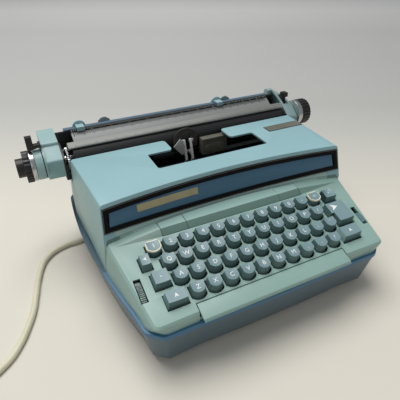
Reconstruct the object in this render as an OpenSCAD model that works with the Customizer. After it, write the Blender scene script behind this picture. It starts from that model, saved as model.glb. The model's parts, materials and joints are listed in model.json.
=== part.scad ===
// Portable electric typewriter with a moving carriage, a two-tone blue case and a free mains cord.
// Built in millimetres, +Z up, +X to the typist's right, +Y away from the typist, floor at z = 0.
// Inside the modules x = 0 is the middle of the case and y = 0 is the number row of the keyboard.

/* [Placement] */
// Shift along X from the case middle to the middle of the whole machine
place_x = 8; // [0:0.5:20]
// Shift along Y from the number row to the middle of the whole machine
place_y = -64; // [-80:0.5:-50]

/* [Base pan] */
// Greatest half width of the pan at its rim
rim_half_max = 170.4; // [166:0.1:180]
// Distance behind the number row at which the pan is widest
rim_wide_y = 115; // [100:1:130]
// Bow of the pan sides, larger is straighter
rim_bow = 1330; // [1000:10:3000]
// Front of the rim at the middle
rim_front = -79; // [-84:0.5:-76]
// Radius of the long front curve of the rim
rim_front_r = 2600; // [1500:50:6000]
// Rear of the rim
rim_rear = 213; // [208:0.5:230]
// Height of the rim behind the bend
rim_z = 62.4; // [58:0.1:66]
// Slope of the front part of the rim, rise over run
rim_slope = 0.079; // [0.04:0.001:0.1]
// Distance behind the number row at which the rim bends level
rim_bend_y = 24; // [20:1:30]
// Corner radius of the pan in plan
rim_corner_r = 13; // [8:0.5:20]
// Height of the blue bead round the rim
bead_h = 5; // [3:0.5:8]
// How far the bead stands proud of the housings
bead_step = 3; // [2:0.1:4]
// How far the bead stands proud of the pan face
bead_proud = 1.2; // [0.5:0.1:2]
// Underside of the pan above the floor
pan_z = 9; // [7:0.5:14]
// How far the pan face runs in from rim to underside
pan_undercut = 10; // [4:0.5:14]
// Wall of the pan and floor of the pan
pan_wall = 3; // [2:0.1:4]

/* [Feet] */
// Radius of a rubber foot
foot_r = 10; // [6:0.5:13]
// Sideways distance of the front feet from the middle
foot_front_x = 122; // [100:1:126]
// Front feet, distance from the number row
foot_front_y = -46; // [-50:1:-30]
// Sideways distance of the rear feet from the middle
foot_rear_x = 118; // [100:1:130]
// Rear feet, distance from the number row
foot_rear_y = 150; // [130:1:170]

/* [Keyboard housing] */
// Height of the deck at the number row
deck_z = 91; // [88:0.5:95]
// Slope of the deck in degrees
deck_slope = 17.145; // [15:0.005:19]
// Half width of the deck at the number row
deck_half = 152.6; // [150:0.1:155]
// Growth of the deck half width for each millimetre back
deck_flare = 0.152; // [0.1:0.001:0.18]
// Front edge of the deck
deck_front = -75.2; // [-76:0.1:-73]
// Wall of the moulded housings
shell = 2.5; // [2:0.1:3]
// Rounding of the deck's outer edge
deck_edge = 2; // [1:0.1:3]
// Radius of the curve in plan between housing and cover
seam_r = 895; // [700:5:1400]
// Deepest point of that curve, at the middle
seam_y = 38; // [36:0.5:42]
// Gap of the seams between the outer mouldings
seam_gap = 0.8; // [0.5:0.1:1.5]

/* [Ledge with the tab controls] */
// Front lower edge of the ledge
ledge_y = 15; // [14:0.5:17]
// Run of its sloping front
ledge_run = 6.5; // [5:0.5:9]
// Height of the ledge over the deck at its front edge
ledge_rise = 5.8; // [4:0.1:7]
// Where the ledge fades out on each side
ledge_tip_x = 148; // [140:1:150]
// Left end of the left button
tab_x0 = -96.3; // [-100:0.1:-90]
// Left end of the long tab bar
tab_x1 = -65.7; // [-70:0.1:-60]
// Right end of the long tab bar
tab_x2 = 58; // [50:0.1:62]
// Right end of the right button
tab_x3 = 88.4; // [85:0.1:92]
// Gap between the tab controls and round them
tab_gap = 0.6; // [0.4:0.1:1]
// Gap between the tab controls and the cover behind them
tab_back_gap = 1.5; // [0.8:0.1:3]
// Half length of the lip behind the tab controls
lip_half = 153.8; // [150:0.1:154]
// Lower edge of that lip
lip_low = 95.4; // [94:0.1:95.5]
// Gap between the lip and the cover on top of it
lip_gap = 0.3; // [0.2:0.05:0.6]
// Depth of the tab controls below the ledge
tab_depth = 6; // [4:0.5:9]

/* [Keys] */
// Key pitch along a row
key_pitch = 19.05; // [19:0.01:19.2]
// Row spacing measured along the deck
row_pitch = 19.67; // [19.4:0.01:20]
// First key of each row, front row last
row_x = [-112.5, -103, -98.25, -88.7];
// Number of keys in each row
row_n = [12, 11, 11, 10];
// Place of the singly working letter key in the third row
letter_at = 5; // [2:1:8]
// Width of a key top
key_w = 13.6; // [12:0.1:14.4]
// Depth of a key top
key_d = 11.5; // [10:0.1:12]
// How much wider the foot of a key is on each side
key_flare = 0.9; // [0.4:0.1:1.2]
// How much deeper the foot of a key is at its front
key_lip = 2.3; // [1:0.1:2.6]
// Rise of the key tops over the deck
key_rise = 8.6; // [7:0.1:10]
// Depth of the key skirts below the deck
key_drop = 3.5; // [3:0.1:4]
// Hollow of the key tops
key_dish = 0.6; // [0.3:0.1:1]
// Gap beside a key in its hole
key_gap = 1; // [0.7:0.1:1.1]
// Extra gap in front of a key for its swing
key_swing = 1.9; // [1.5:0.1:2.2]
// Width of the pale ring round the two end keys of the number row
ring_w = 1.2; // [0.8:0.1:1.4]

/* [Space bar] */
// Left end of the space bar
space_x0 = -95.2; // [-100:0.1:-90]
// Right end of the space bar
space_x1 = 87.2; // [80:0.1:92]
// Rear edge of the space bar
space_back = -66; // [-67:0.1:-65]
// Front edge of the space bar
space_front = -85; // [-87:0.1:-84]
// Thickness of the space bar
space_t = 3; // [2.5:0.1:4]

/* [Key levers] */
// Distance of the fulcrum rod behind the number row
pivot_y = 150; // [145:0.5:155]
// Height of the fulcrum rod
pivot_z = 45; // [43:0.5:47]
// Radius of the fulcrum rod
pivot_r = 2.5; // [2:0.1:3]
// Running clearance of every bearing, on the radius
run_gap = 0.05; // [0.02:0.01:0.1]
// Thickness of a key lever
lever_t = 1.2; // [1:0.1:1.6]
// Height of a key lever
lever_h = 5; // [4:0.1:6]
// Width of a lever's upright
stem_w = 6; // [4:0.1:7]
// How far an upright reaches into its key
stem_grip = 4; // [3:0.1:6]
// Half distance between the chassis side plates
plate_x = 132; // [130:0.5:134]
// Thickness of the chassis side plates
plate_t = 2.5; // [2:0.1:3]

/* [Top cover] */
// Top of the cover
cover_z = 140.7; // [138:0.1:144]
// Half width of the cover's foot at its front
cover_foot_front = 160.9; // [159:0.1:161]
// Half width of the cover's foot at its rear
cover_foot_rear = 166.3; // [165:0.1:166.4]
// Half width of the top at its front
cover_top_front = 153.9; // [150:0.1:158]
// Half width of the top at its rear
cover_top_rear = 161.4; // [158:0.1:164]
// Rear edge of the cover
cover_rear = 146.2; // [145:0.1:146.4]
// Height where the cover's leaning front wall meets the seam
front_z = 99.5; // [98.5:0.1:101]
// Lower edge of the front wall, above the tab controls
wall_low = 102.7; // [102.6:0.1:103.5]
// Lean of the front wall in degrees
front_lean = 13.6; // [12:0.1:15]
// Rounding of the cover's top edge
cover_edge = 3; // [2:0.1:5]
// Left end of the wide part of the opening
open_x0 = -73.3; // [-78:0.1:-70]
// Right end of the wide part of the opening
open_x1 = 77.5; // [70:0.1:80]
// Front edge of the opening
open_front = 79.5; // [76:0.1:84]
// Rear edge of the wide part of the opening
open_back = 117.5; // [114:0.1:121]
// Left side of the neck of the opening
neck_x0 = -39.7; // [-44:0.1:-34]
// Right side of the neck of the opening
neck_x1 = 44; // [38:0.1:50]
// Corner radius of the opening
open_corner = 3; // [1:0.5:4]
// Rounding of the two tabs beside the neck
tab_tip_r = 5; // [2:0.5:6]

/* [Front panel] */
// Lower edge of the black frame above the cover's lower edge, at the middle, along the lean
frame_low = 5.2; // [4.5:0.1:8]
// Upper edge of the black frame at the middle, along the lean
frame_high = 37.4; // [35:0.1:38]
// Rise of its lower edge toward the ends
frame_low_rise = 2; // [0:0.1:4]
// Drop of its upper edge toward the ends
frame_high_drop = 3; // [0:0.1:4]
// Half width of the frame at its lower edge
frame_half = 152.5; // [148:0.1:154]
// Half width lost toward its upper edge
frame_taper = 2.5; // [0:0.1:5]
// Width of the frame's border
frame_border = 4; // [3:0.1:6]
// How far the frame stands proud
frame_proud = 0.8; // [0.4:0.1:1.5]
// Thickness of the blue insert
insert_t = 1.5; // [1:0.1:2]

/* [Platen and knobs] */
// Distance of the platen axis behind the number row
platen_y = 166; // [165.5:0.1:167]
// Height of the platen axis
platen_z = 133; // [132.5:0.1:134]
// Radius of the platen
platen_r = 16; // [15:0.1:16.2]
// Half length of the platen
platen_half = 155; // [150:0.1:155.4]
// Radius of the platen shaft
shaft_r = 4; // [3:0.1:5]
// Radius of the platen knobs
knob_r = 19.3; // [17:0.1:21]
// Outer end of the left hub
knob_left_end = -221; // [-225:0.1:-218]
// Outer face of the left knob
knob_left_face = -212.5; // [-215:0.1:-210]
// Inner face of the left knob
knob_left_in = -205; // [-206:0.1:-203]
// Outer end of the left collar
collar_x = -199.5; // [-201:0.1:-197]
// Inner face of the right knob
knob_right_in = 190.5; // [189:0.1:192]
// Outer face of the right knob
knob_right_end = 205; // [200:0.1:210]
// Radius of the left hub
hub_r = 11.5; // [9:0.1:13]
// Radius of the left collar
collar_r = 18.5; // [17:0.1:19]
// Number of flutes round a knob
flutes = 24; // [16:1:36]

/* [Carriage] */
// Outer face of the left end cover
cap_left = -188.5; // [-190:0.1:-187]
// Inner face of the left end cover
cap_left_in = -168.5; // [-170:0.1:-167.5]
// Inner face of the right end cover
cap_right_in = 162; // [161.6:0.1:163]
// Outer face of the right end cover
cap_right = 183; // [181:0.1:184]
// Foremost face of the carriage, just behind the cover
carriage_front = 149.5; // [149.3:0.1:150]
// Thickness of the carriage end plates
end_t = 3; // [2.5:0.1:3.2]
// Height of the rail the carriage runs on
rail_z = 104; // [103:0.1:105]
// Depth of the rail's section
rail_h = 7; // [6:0.1:7.2]
// Front face of the rail
rail_y = 181; // [180.5:0.1:181.4]
// Width of the rail's section
rail_w = 10.2; // [9:0.1:10.4]
// Half length of the rail
rail_half = 150; // [140:1:151]
// Clearance between the rail and the carriage shoe
rail_gap = 0.45; // [0.3:0.05:0.5]
// Rear plate of the carriage, front face
back_y = 192; // [191.8:0.1:192.4]
// Height of the rear plate's upper edge
back_z = 157.6; // [156:0.1:158]
// Pivot of the paper bail behind the number row
bail_y = 185; // [184:0.1:186]
// Height of the paper bail's pivot
bail_z = 135; // [134:0.1:136]
// Radius of the bail's pivot pins
bail_pin_r = 2.5; // [2:0.1:3]
// Height of the scale's upper edge
scale_z = 159.6; // [159:0.1:160.5]
// Half length of the paper table
table_half = 149; // [140:0.5:150]
// Half length of the margin scale
scale_half = 150; // [140:0.5:151]
// Left end of the cover behind the scale
hood_left = -157; // [-160:0.5:-150]
// Right end of that cover
hood_right = 150; // [145:0.5:157]
// Rest place of the left margin stop
stop_left_x = -136; // [-140:0.5:-120]
// Rest place of the right margin stop
stop_right_x = 66.5; // [50:0.5:80]

/* [Type basket] */
// Sideways place of the printing point
print_x = -7; // [-8:0.1:-6]
// Centre of the segment behind the number row
basket_y = 162.6; // [162:0.1:163]
// Height of the segment's centre
basket_z = 86; // [85.6:0.1:86.4]
// Tilt of the segment in degrees
basket_tilt = 15; // [14:0.1:16]
// Radius of the ring of type bar pivots
ring_r = 33; // [32.6:0.1:33.4]
// Length of a type bar from pivot to type
bar_len = 62; // [61:0.1:62.2]
// Rise of the resting type bars over the segment plane
bar_rise = 25; // [24:0.5:26]
// Type bars on each side of the middle one
bars_side = 21; // [12:1:21]
// Angle from the middle type bar to the last one
bars_span = 69.3; // [69:0.1:70]
// Thickness of a type bar
bar_t = 0.9; // [0.8:0.1:1]
// Width of a type head
head_w = 4.4; // [3:0.1:4.6]

/* [Drive] */
// Motor axis behind the number row
motor_y = 182; // [178:0.5:184]
// Height of the motor axis
motor_z = 36; // [34:0.5:38]
// Radius of the motor
motor_r = 18; // [15:0.5:20]
// Power roller axis behind the number row
roller_y = 105; // [100:0.5:110]
// Height of the power roller axis
roller_z = 60; // [59:0.1:61]
// Radius of the power roller
roller_r = 8; // [6:0.1:8.5]
// Radius of the roller's pulley
pulley_big_r = 14; // [12:0.1:15]
// Radius of the motor's pulley
pulley_small_r = 7; // [6:0.1:9]
// Thickness of the drive belt
belt_t = 1.5; // [1:0.1:2]
// Middle of the belt's path along X
belt_x = 140; // [139:0.1:142]

/* [Wheel and switch] */
// Radius of the ribbed impression wheel
wheel_r = 17; // [14:0.5:18]
// Thickness of that wheel
wheel_t = 5.4; // [4:0.1:5.6]
// Sideways place of that wheel
wheel_x = -140.6; // [-141:0.1:-140]
// Length of the two slots in the deck
slot_len = 26.6; // [22:0.1:30]
// Place of the slots down the deck
slot_v = -37; // [-40:0.5:-34]
// Width of the wheel's slot
wheel_slot = 7.6; // [7:0.1:8]
// Sideways place of the power switch
switch_x = 139.9; // [139:0.1:140.4]
// Width of the switch's slot
switch_slot = 6.6; // [6:0.1:7]

/* [Mains cord] */
// Diameter of the cord
cord_d = 7; // [6:0.5:8]
// Radius of the middle turn of the coil
coil_mid_r = 38; // [35:1:42]
// Turns of the coil, half of them in each layer
coil_turns = 5; // [4:1:6]
// Length of the plug's body
plug_len = 34; // [30:1:40]

/* [Hidden] */
eps = 0.01;
big = 600;
case_blue = [0.60, 0.73, 0.77];
deck_green = [0.61, 0.72, 0.69];
key_blue = [0.45, 0.57, 0.61];
pan_blue = [0.30, 0.47, 0.60];
steel = [0.62, 0.63, 0.65];
chrome = [0.80, 0.81, 0.83];
dark = [0.09, 0.09, 0.10];
ivory = [0.86, 0.83, 0.74];
cos_d = cos(deck_slope);
sin_d = sin(deck_slope);
// Place down the deck, level with the key tops, of a point given by its distance from the row
function down(y) = (y + key_rise * sin_d) / cos_d;
row_v = [for (i = [0:3]) down(0) - i * row_pitch];
function rim_half(y) = rim_half_max - pow(y - rim_wide_y, 2) / rim_bow;
function seam_at(x) = seam_y - x * x / (2 * seam_r);
function deck_top(y) = deck_z + y * sin_d / cos_d;
// Function keys: x, y of the middle of the top, width, depth along the deck, x of the lever
key_back = [-126.3, -11.7, 9.4, 11.9, -125.2];
key_lock = [-118.3, -33.7, 15.5, 13.9, -118.3];
key_shift_l = [-112, -56.5, 20, 11.5, -107.7];
key_shift_r = [107.5, -54.7, 23.5, 13, 106];
key_margin = [118.3, -1.4, 15.3, 11.5, 118.3];
key_return = [113.5, -27.7, 25, 26.7, 112.2];
return_step = 4;
return_split = 1;
bar_step = bars_span / bars_side;
shift_tube_y = 90;
shift_tube_z = 30;
shift_tube_r = 4;
space_arms = [-52.97, 42.28];
arm_t = 1.2;
cross_y = 146;
cross_w = 12;
cross_z = 54;
guide_rod_r = 2.5;
guide_rod_dx = 46;
guide_rod_y = 155;
guide_rod_top = 103;
tab_rail_z = 72;
tab_rail_t = 3;
tab_rail_y = 22;
tab_rail_w = 9;
tab_pin_r = 2;
tab_pins = [-85, -50, 42, 77];
hub_len_r = 4.2;
fit = 0.02;
cord_r = cord_d / 2;
cord_sides = 10;
// Centre height at which the flat underside of the tube lies on the floor
cord_z = cord_r * cos(180 / cord_sides);
gland_x = -90;
gland_z = 40;
gland_r = 6.5;
gland_y0 = 201;
gland_y1 = 222;
cartridge = [12, 136.2, 112.5, 38, 9.8, 22.5];
shelf_t = 2;

module placed() {
  translate([place_x, place_y, 0]) children();
}

module deck_frame() {
  translate([0, 0, deck_z]) rotate([deck_slope, 0, 0]) children();
}

// Extrudes a drawing made in (y, z) along X from x0 over the width w
module side_extrude(x0, w) {
  translate([x0, 0, 0]) rotate([90, 0, 90]) linear_extrude(w) children();
}

module rod_x(x0, x1, y, z, r) {
  translate([x0, y, z]) rotate([0, 90, 0]) cylinder(r = r, h = x1 - x0, $fn = 64);
}

// Plan of the rim, moved in by a distance
module rim_outline(inset) {
  fx = 128;
  back = rim_rear - 12;
  ys = [-60, -40, -15, 10, 35, 60, 85, 115, 145, 170, 190];
  right = [for (y = ys) [rim_half(y), y]];
  left = [for (i = [len(ys) - 1:-1:0]) [-rim_half(ys[i]), ys[i]]];
  front = [for (x = [-fx:32:fx]) [x, rim_front + x * x / (2 * rim_front_r)]];
  rear = [[rim_half(back) - 6, back], [146, rim_rear], [-146, rim_rear], [6 - rim_half(back), back]];
  offset(r = rim_corner_r - inset, $fn = 40) offset(delta = -rim_corner_r)
    polygon(concat(front, right, rear, left));
}

// Slab of the rim's plan that follows the bend of the rim
module rim_slab(drop, thick, inset) {
  low = rim_z - rim_slope * rim_bend_y - drop;
  multmatrix([[1, 0, 0, 0], [0, 1, 0, 0], [0, rim_slope, 1, low], [0, 0, 0, 1]])
    linear_extrude(thick) intersection() {
      rim_outline(inset);
      translate([-big / 2, rim_front - 20]) square([big, rim_bend_y - rim_front + 20]);
    }
  translate([0, 0, rim_z - drop]) linear_extrude(thick) intersection() {
    rim_outline(inset);
    translate([-big / 2, rim_bend_y]) square([big, big]);
  }
}

module base_pan() color(pan_blue) placed() {
  floor_in = pan_undercut + pan_wall;
  difference() {
    union() {
      hull() {
        translate([0, 0, pan_z]) linear_extrude(1) rim_outline(pan_undercut);
        rim_slab(bead_h + 0.2, 1, bead_proud);
      }
      hull() rim_slab(bead_h, bead_h, 0);
    }
    hull() {
      translate([0, 0, pan_z + pan_wall]) linear_extrude(1) rim_outline(floor_in);
      rim_slab(1, 2, bead_step + shell);
    }
    translate([gland_x, gland_y0 - 10, gland_z]) rotate([-90, 0, 0])
      cylinder(r = gland_r, h = 40, $fn = 48);
    for (i = [0:11]) translate([20 + 8 * i, 40, pan_z - 1]) cube([3, 50, pan_wall + 2]);
  }
}

module rubber_feet() color(dark) placed() {
  for (p = [[foot_front_x, foot_front_y], [foot_rear_x, foot_rear_y]])
    for (s = [-1, 1])
      translate([s * p[0], p[1], 0]) {
        cylinder(r = foot_r, h = pan_z, $fn = 64);
      }
}

// Side plate with the bearings for the fulcrum, the power roller and the motor shaft
module side_plate(x0) {
  top = rail_z;
  difference() {
    side_extrude(x0, plate_t)
      polygon([[-50, pan_z + pan_wall], [200, pan_z + pan_wall], [200, top - 8],
               [rail_y + rail_w + 2, top], [178, top], [150, 70],
               [30, 82], [10, 78], [-50, 67]]);
    rod_x(x0 - 1, x0 + plate_t + 1, roller_y, roller_z, 3 + run_gap);
    rod_x(x0 - 1, x0 + plate_t + 1, motor_y, motor_z, 3 + run_gap);
    side_extrude(x0 - 1, plate_t + 2) polygon([[60, 20], [140, 20], [140, 34], [60, 34]]);
  }
}

module chassis_frame() color(steel) placed() {
  cross_top = cross_z + 4;
  side_plate(-plate_x - plate_t);
  side_plate(plate_x);
  rod_x(-plate_x - 0.5, plate_x + 0.5, pivot_y, pivot_z, pivot_r);
  translate([-plate_x - 0.5, cross_y, cross_z]) cube([2 * plate_x + 1, cross_w, 4]);
  for (s = [-1, 1])
    translate([print_x + s * guide_rod_dx, guide_rod_y, cross_top - 0.5])
      cylinder(r = guide_rod_r, h = guide_rod_top - cross_top + 0.5, $fn = 48);
  translate([-rail_half, rail_y, rail_z - eps]) cube([2 * rail_half, rail_w, rail_h + eps]);
  difference() {
    translate([-plate_x - 0.5, tab_rail_y, tab_rail_z]) cube([2 * plate_x + 1, tab_rail_w, tab_rail_t]);
    for (x = tab_pins)
      translate([x, tab_rail_y + tab_rail_w / 2, tab_rail_z - 1])
        cylinder(r = tab_pin_r + run_gap, h = tab_rail_t + 2, $fn = 48);
  }
  // Shelf that the ribbon cartridge slides along, on a leg from the cross bar
  translate([14, 137, cartridge[2] - 0.2 - shelf_t]) cube([117.5, 10, shelf_t]);
  translate([125, 143, cross_z + 2]) cube([6.5, 6, cartridge[2] - 0.2 - cross_z - 2]);
  // Axle of the impression wheel, carried by the left side plate
  p = wheel_centre();
  rod_x(wheel_x - wheel_t / 2 - 0.6, -plate_x, p[0], p[1], 3);
}

// Lip that the cover's front wall stands on, with a foot in the deck at each side of the tab controls
module seam_lip() {
  intersection() {
    front_slice(0, shell, -6, 60);
    translate([-lip_half, 0, lip_low]) cube([2 * lip_half, 60, wall_low - lip_gap - lip_low]);
  }
  for (x = [[-lip_half, tab_x0 - 3 * tab_gap], [tab_x3 + 3 * tab_gap, lip_half]])
    intersection() {
      difference() {
        seam_side(-1);
        seam_side(2);
      }
      deck_frame() translate([x[0], 0, 0.3 - shell]) cube([x[1] - x[0], 60, shell - 0.6]);
    }
}

function wheel_centre() = [
  slot_v * cos_d + (wheel_r - 0.6) * sin_d,
  deck_z + slot_v * sin_d - (wheel_r - 0.6) * cos_d
];

// Plan of the deck in its own plane
module deck_outline(inset) {
  v0 = deck_front / cos_d;
  v1 = 44;
  h0 = deck_half + deck_flare * deck_front;
  h1 = deck_half + deck_flare * v1 * cos_d;
  offset(r = 8 - inset, $fn = 32) offset(delta = -8)
    polygon([[-h0, v0], [h0, v0], [h1, v1], [-h1, v1]]);
}

module deck_block(inset, top, foot) {
  hull() {
    deck_frame() translate([0, 0, -top - 0.4]) linear_extrude(0.4) deck_outline(inset + deck_edge);
    deck_frame() translate([0, 0, -top - deck_edge - 0.4]) linear_extrude(0.4) deck_outline(inset);
    intersection() {
      rim_slab(foot, 0.4, bead_step + inset);
      translate([-big / 2, -big, 0]) cube([big, big + 40, big]);
    }
  }
}

// Everything on the near side of the curved seam
module seam_side(gap) {
  translate([0, seam_y - seam_r, -eps]) cylinder(r = seam_r - gap, h = 300, $fn = 360);
}

function ledge_back(x) = seam_at(x) - seam_gap;

// Section of the ledge across the keyboard, in (y, z), at the side distance x
module ledge_section(x, base) {
  rise = ledge_rise;
  y1 = ledge_y + ledge_run;
  z1 = deck_top(ledge_y) + rise;
  z2 = deck_top(ledge_back(x));
  polygon([[ledge_y, deck_top(ledge_y)], [y1, z1], [ledge_back(0) + 1, max(z1, z2)],
           [ledge_back(0) + 1, base], [ledge_y, base]]);
}

module ledge_wedge(x, s) {
  z0 = deck_top(ledge_y);
  hull() {
    side_extrude(x, eps) polygon([[ledge_y, z0 - 1], [ledge_y, z0],
      [ledge_y + ledge_run, z0 + ledge_rise - 0.4], [ledge_back(x), deck_top(ledge_back(x))],
      [ledge_back(x), deck_top(ledge_back(x)) - 2]]);
    side_extrude(s * ledge_tip_x, eps) polygon([[ledge_y + 3, deck_top(ledge_y + 3) - 1],
      [ledge_y + 3, deck_top(ledge_y + 3)], [ledge_back(ledge_tip_x), deck_top(ledge_back(ledge_tip_x))],
      [ledge_back(ledge_tip_x), deck_top(ledge_back(ledge_tip_x)) - 2]]);
  }
}

// Hole in the deck for a letter key, seen along the deck's normal
module key_hole() {
  intersection() {
    translate([0, 1.3]) circle(r = key_d / 2 + key_lip + key_swing + 1.3, $fn = 64);
    translate([-key_w / 2 - key_flare - key_gap, -20])
      square([key_w + 2 * (key_flare + key_gap), 20 + key_d / 2 + 0.8 + 0.65]);
  }
}

// Rectangular hole for a function key
module box_hole(k) {
  w = k[2] + 2 * (key_flare + key_gap);
  front = k[3] / 2 + key_lip + key_swing;
  translate([k[0] - w / 2, down(k[1]) - front]) square([w, front + k[3] / 2 + 0.8 + 0.7]);
}

module deck_cut(depth) {
  deck_frame() translate([0, 0, -depth]) linear_extrude(depth + 12) children();
}

module keyboard_housing() color(deck_green) placed() {
  space_cut = 1;
  difference() {
    intersection() {
      union() {
        difference() {
          deck_block(0, 0, 0);
          deck_block(shell, shell, 2);
        }
        ledge_wedge(tab_x0 - tab_gap, -1);
        ledge_wedge(tab_x3 + tab_gap, 1);
      }
      seam_side(seam_gap);
    }
    for (r = [0:3])
      for (i = [0:row_n[r] - 1])
        deck_cut(8) translate([row_x[r] + i * key_pitch, row_v[r]]) key_hole();
    for (k = [key_back, key_lock, key_shift_l, key_shift_r, key_margin]) deck_cut(8) box_hole(k);
    deck_cut(8) return_hole();
    deck_cut(8) for (q = [[wheel_x, wheel_slot], [switch_x, switch_slot]])
      translate([q[0] - q[1] / 2, slot_v - slot_len / 2]) square([q[1], slot_len]);
    translate([tab_x0 - tab_gap, ledge_y - tab_gap, 84])
      cube([tab_x3 - tab_x0 + 2 * tab_gap, 60, 30]);
    translate([space_x0 - space_cut, space_front - 20, rim_z - 4])
      cube([space_x1 - space_x0 + 2 * space_cut, space_back - space_front + 20 + space_cut, 30]);
    translate([space_x0 - space_cut, space_front - 20, 50])
      cube([space_x1 - space_x0 + 2 * space_cut, space_back - space_front + 13, 30]);
    // Seat on the pan's rim, and room for the wheel beside the wall
    rim_slab(30, 30, -10);
    rod_x(wheel_x - wheel_t / 2 - 0.6, wheel_x + wheel_t / 2 + 0.6, wheel_centre()[0],
          wheel_centre()[1], wheel_r + 0.8);
  }
  seam_lip();
}

module return_hole() {
  k = key_return;
  side = key_flare + key_gap;
  front = k[3] / 2 + key_lip + key_swing;
  v = down(k[1]);
  split = return_split + key_swing + key_lip / 2;
  translate([k[0] - k[2] / 2 - side, v - split])
    square([k[2] + 2 * side, split + k[3] / 2 + 1.5]);
  translate([k[0] - k[2] / 2 + return_step - side, v - front])
    square([k[2] - return_step + 2 * side, front + 1]);
}

// Plan of the rear housing and cover: half widths at the front and at the rear of a level
module cover_level(y0, y1, half0, half1) {
  polygon([[-half0, y0], [half0, y0], [half1, y1], [-half1, y1]]);
}

function at_rear(front, rear, y) = front + (rear - front) * (y - rim_bend_y) / (cover_rear - rim_bend_y);

module cover_block(inset, drop, y0, y1) {
  f0 = at_rear(cover_foot_front, cover_foot_rear, y0) - inset;
  f1 = at_rear(cover_foot_front, cover_foot_rear, y1) - inset;
  t0 = at_rear(cover_top_front, cover_top_rear, y0) - inset;
  t1 = at_rear(cover_top_front, cover_top_rear, y1) - inset;
  hull() {
    translate([0, 0, rim_z - drop]) linear_extrude(eps) cover_level(y0, y1, f0, f1);
    translate([0, 0, cover_z - cover_edge - drop]) linear_extrude(eps)
      cover_level(y0, y1, t0 + 0.3, t1 + 0.3);
    translate([0, 0, cover_z - cover_edge * 0.3 - drop - eps]) linear_extrude(eps)
      cover_level(y0, y1, t0 - cover_edge * 0.3, t1 - cover_edge * 0.3);
    translate([0, 0, cover_z - drop - eps]) linear_extrude(eps)
      cover_level(y0, y1, t0 - cover_edge, t1 - cover_edge);
  }
}

// Frame of the leaning front wall: local z runs up the wall, the wall's face is at radius seam_r
module front_frame_axis() {
  translate([0, seam_y, front_z]) rotate([-front_lean, 0, 0]) translate([0, -seam_r, 0]) children();
}

// Curved slice of the front wall between two radii
module front_slice(out, depth, z0, z1) {
  front_frame_axis() translate([0, 0, z0]) difference() {
    cylinder(r = seam_r + depth, h = z1 - z0, $fn = 360);
    translate([0, 0, -1]) cylinder(r = seam_r - out, h = z1 - z0 + 2, $fn = 360);
  }
}

// Leaning outline through the front wall with bowed long edges, bounds the frame and its insert
module frame_shape(margin) {
  h0 = frame_half - margin;
  h1 = frame_half - frame_taper - margin;
  n = 10;
  front_frame_axis() translate([0, seam_r + 20, 0]) rotate([90, 0, 0]) linear_extrude(60)
    polygon(concat(
      [for (i = [-n:n]) [h0 * i / n, frame_low + margin + frame_low_rise * i * i / (n * n)]],
      [for (i = [n:-1:-n]) [h1 * i / n, frame_high - margin - frame_high_drop * i * i / (n * n)]]));
}

// Plan of the opening over the type basket, with its neck back to the platen
module opening_plan() {
  offset(r = -tab_tip_r, $fn = 40) offset(delta = tab_tip_r)
    offset(r = open_corner, $fn = 32) offset(delta = -open_corner) {
      translate([open_x0, open_front]) square([open_x1 - open_x0, open_back - open_front]);
      translate([neck_x0, open_back - 1]) square([neck_x1 - neck_x0, cover_rear - open_back + 10]);
      translate([neck_x0 - 12, cover_rear]) square([neck_x1 - neck_x0 + 24, 40]);
    }
}

module top_cover() color(case_blue) placed() {
  difference() {
    union() {
      difference() {
        cover_block(0, 0, 0, cover_rear);
        cover_block(shell, shell, -5, cover_rear + 5);
        front_frame_axis() translate([0, 0, -20]) cylinder(r = seam_r, h = 120, $fn = 360);
        translate([-big / 2, -20, 0]) cube([big, 20 + rim_bend_y + 0.2, front_z]);
      }
      intersection() {
        cover_block(0.2, 0.2, 0, cover_rear);
        front_slice(0, shell, -6, 60);
        translate([-big / 2, -20, front_z]) cube([big, 200, 100]);
      }
    }
    translate([-lip_half - lip_gap, -20, 0]) cube([2 * (lip_half + lip_gap), 65, wall_low]);
    intersection() {
      front_slice(1, shell + 0.5, -6, 60);
      frame_shape(0);
    }
    translate([0, 0, cover_z - 20]) linear_extrude(40) opening_plan();
  }
}

module front_frame() color(dark) placed() {
  difference() {
    intersection() {
      front_slice(frame_proud, shell, 0, 60);
      frame_shape(0);
    }
    frame_shape(frame_border);
  }
}

module frame_insert() color([0.18, 0.31, 0.42]) placed() {
  intersection() {
    front_slice(0, insert_t, 0, 60);
    frame_shape(frame_border);
  }
}

module rear_housing() color(case_blue) placed() {
  top = rail_z + 2;
  y0 = cover_rear + 0.4;
  back = rim_rear - bead_step;
  f0 = at_rear(cover_foot_front, cover_foot_rear, y0);
  f1 = rim_half(back - 12) - bead_step;
  draft = 2.5;
  difference() {
    hull() {
      translate([0, 0, rim_z]) linear_extrude(eps)
        polygon([[-f0, y0], [f0, y0], [f1, back - 14], [144, back], [-144, back], [-f1, back - 14]]);
      translate([0, 0, top - eps]) linear_extrude(eps)
        polygon([[-f0 + draft, y0], [f0 - draft, y0], [f1 - draft, back - 16], [142, back - 3],
                 [-142, back - 3], [draft - f1, back - 16]]);
    }
    hull() {
      translate([0, 0, rim_z - 1]) linear_extrude(eps)
        polygon([[-f0 + shell, y0 - 5], [f0 - shell, y0 - 5], [f1 - shell, back - 15],
                 [143, back - shell], [-143, back - shell], [shell - f1, back - 15]]);
      translate([0, 0, top - shell]) linear_extrude(eps)
        polygon([[-f0 + draft + shell, y0 - 5], [f0 - draft - shell, y0 - 5],
                 [f1 - draft - shell, back - 17], [141, back - 3 - shell],
                 [-141, back - 3 - shell], [shell + draft - f1, back - 17]]);
    }
    translate([-rail_half - 3, y0 - 10, top - 10])
      cube([2 * rail_half + 6, rail_y + rail_w - y0 + 14, 20]);
    for (i = [-9:9]) translate([14 * i - 2, back - 20, 72]) cube([4, 40, 22]);
  }
}

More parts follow.
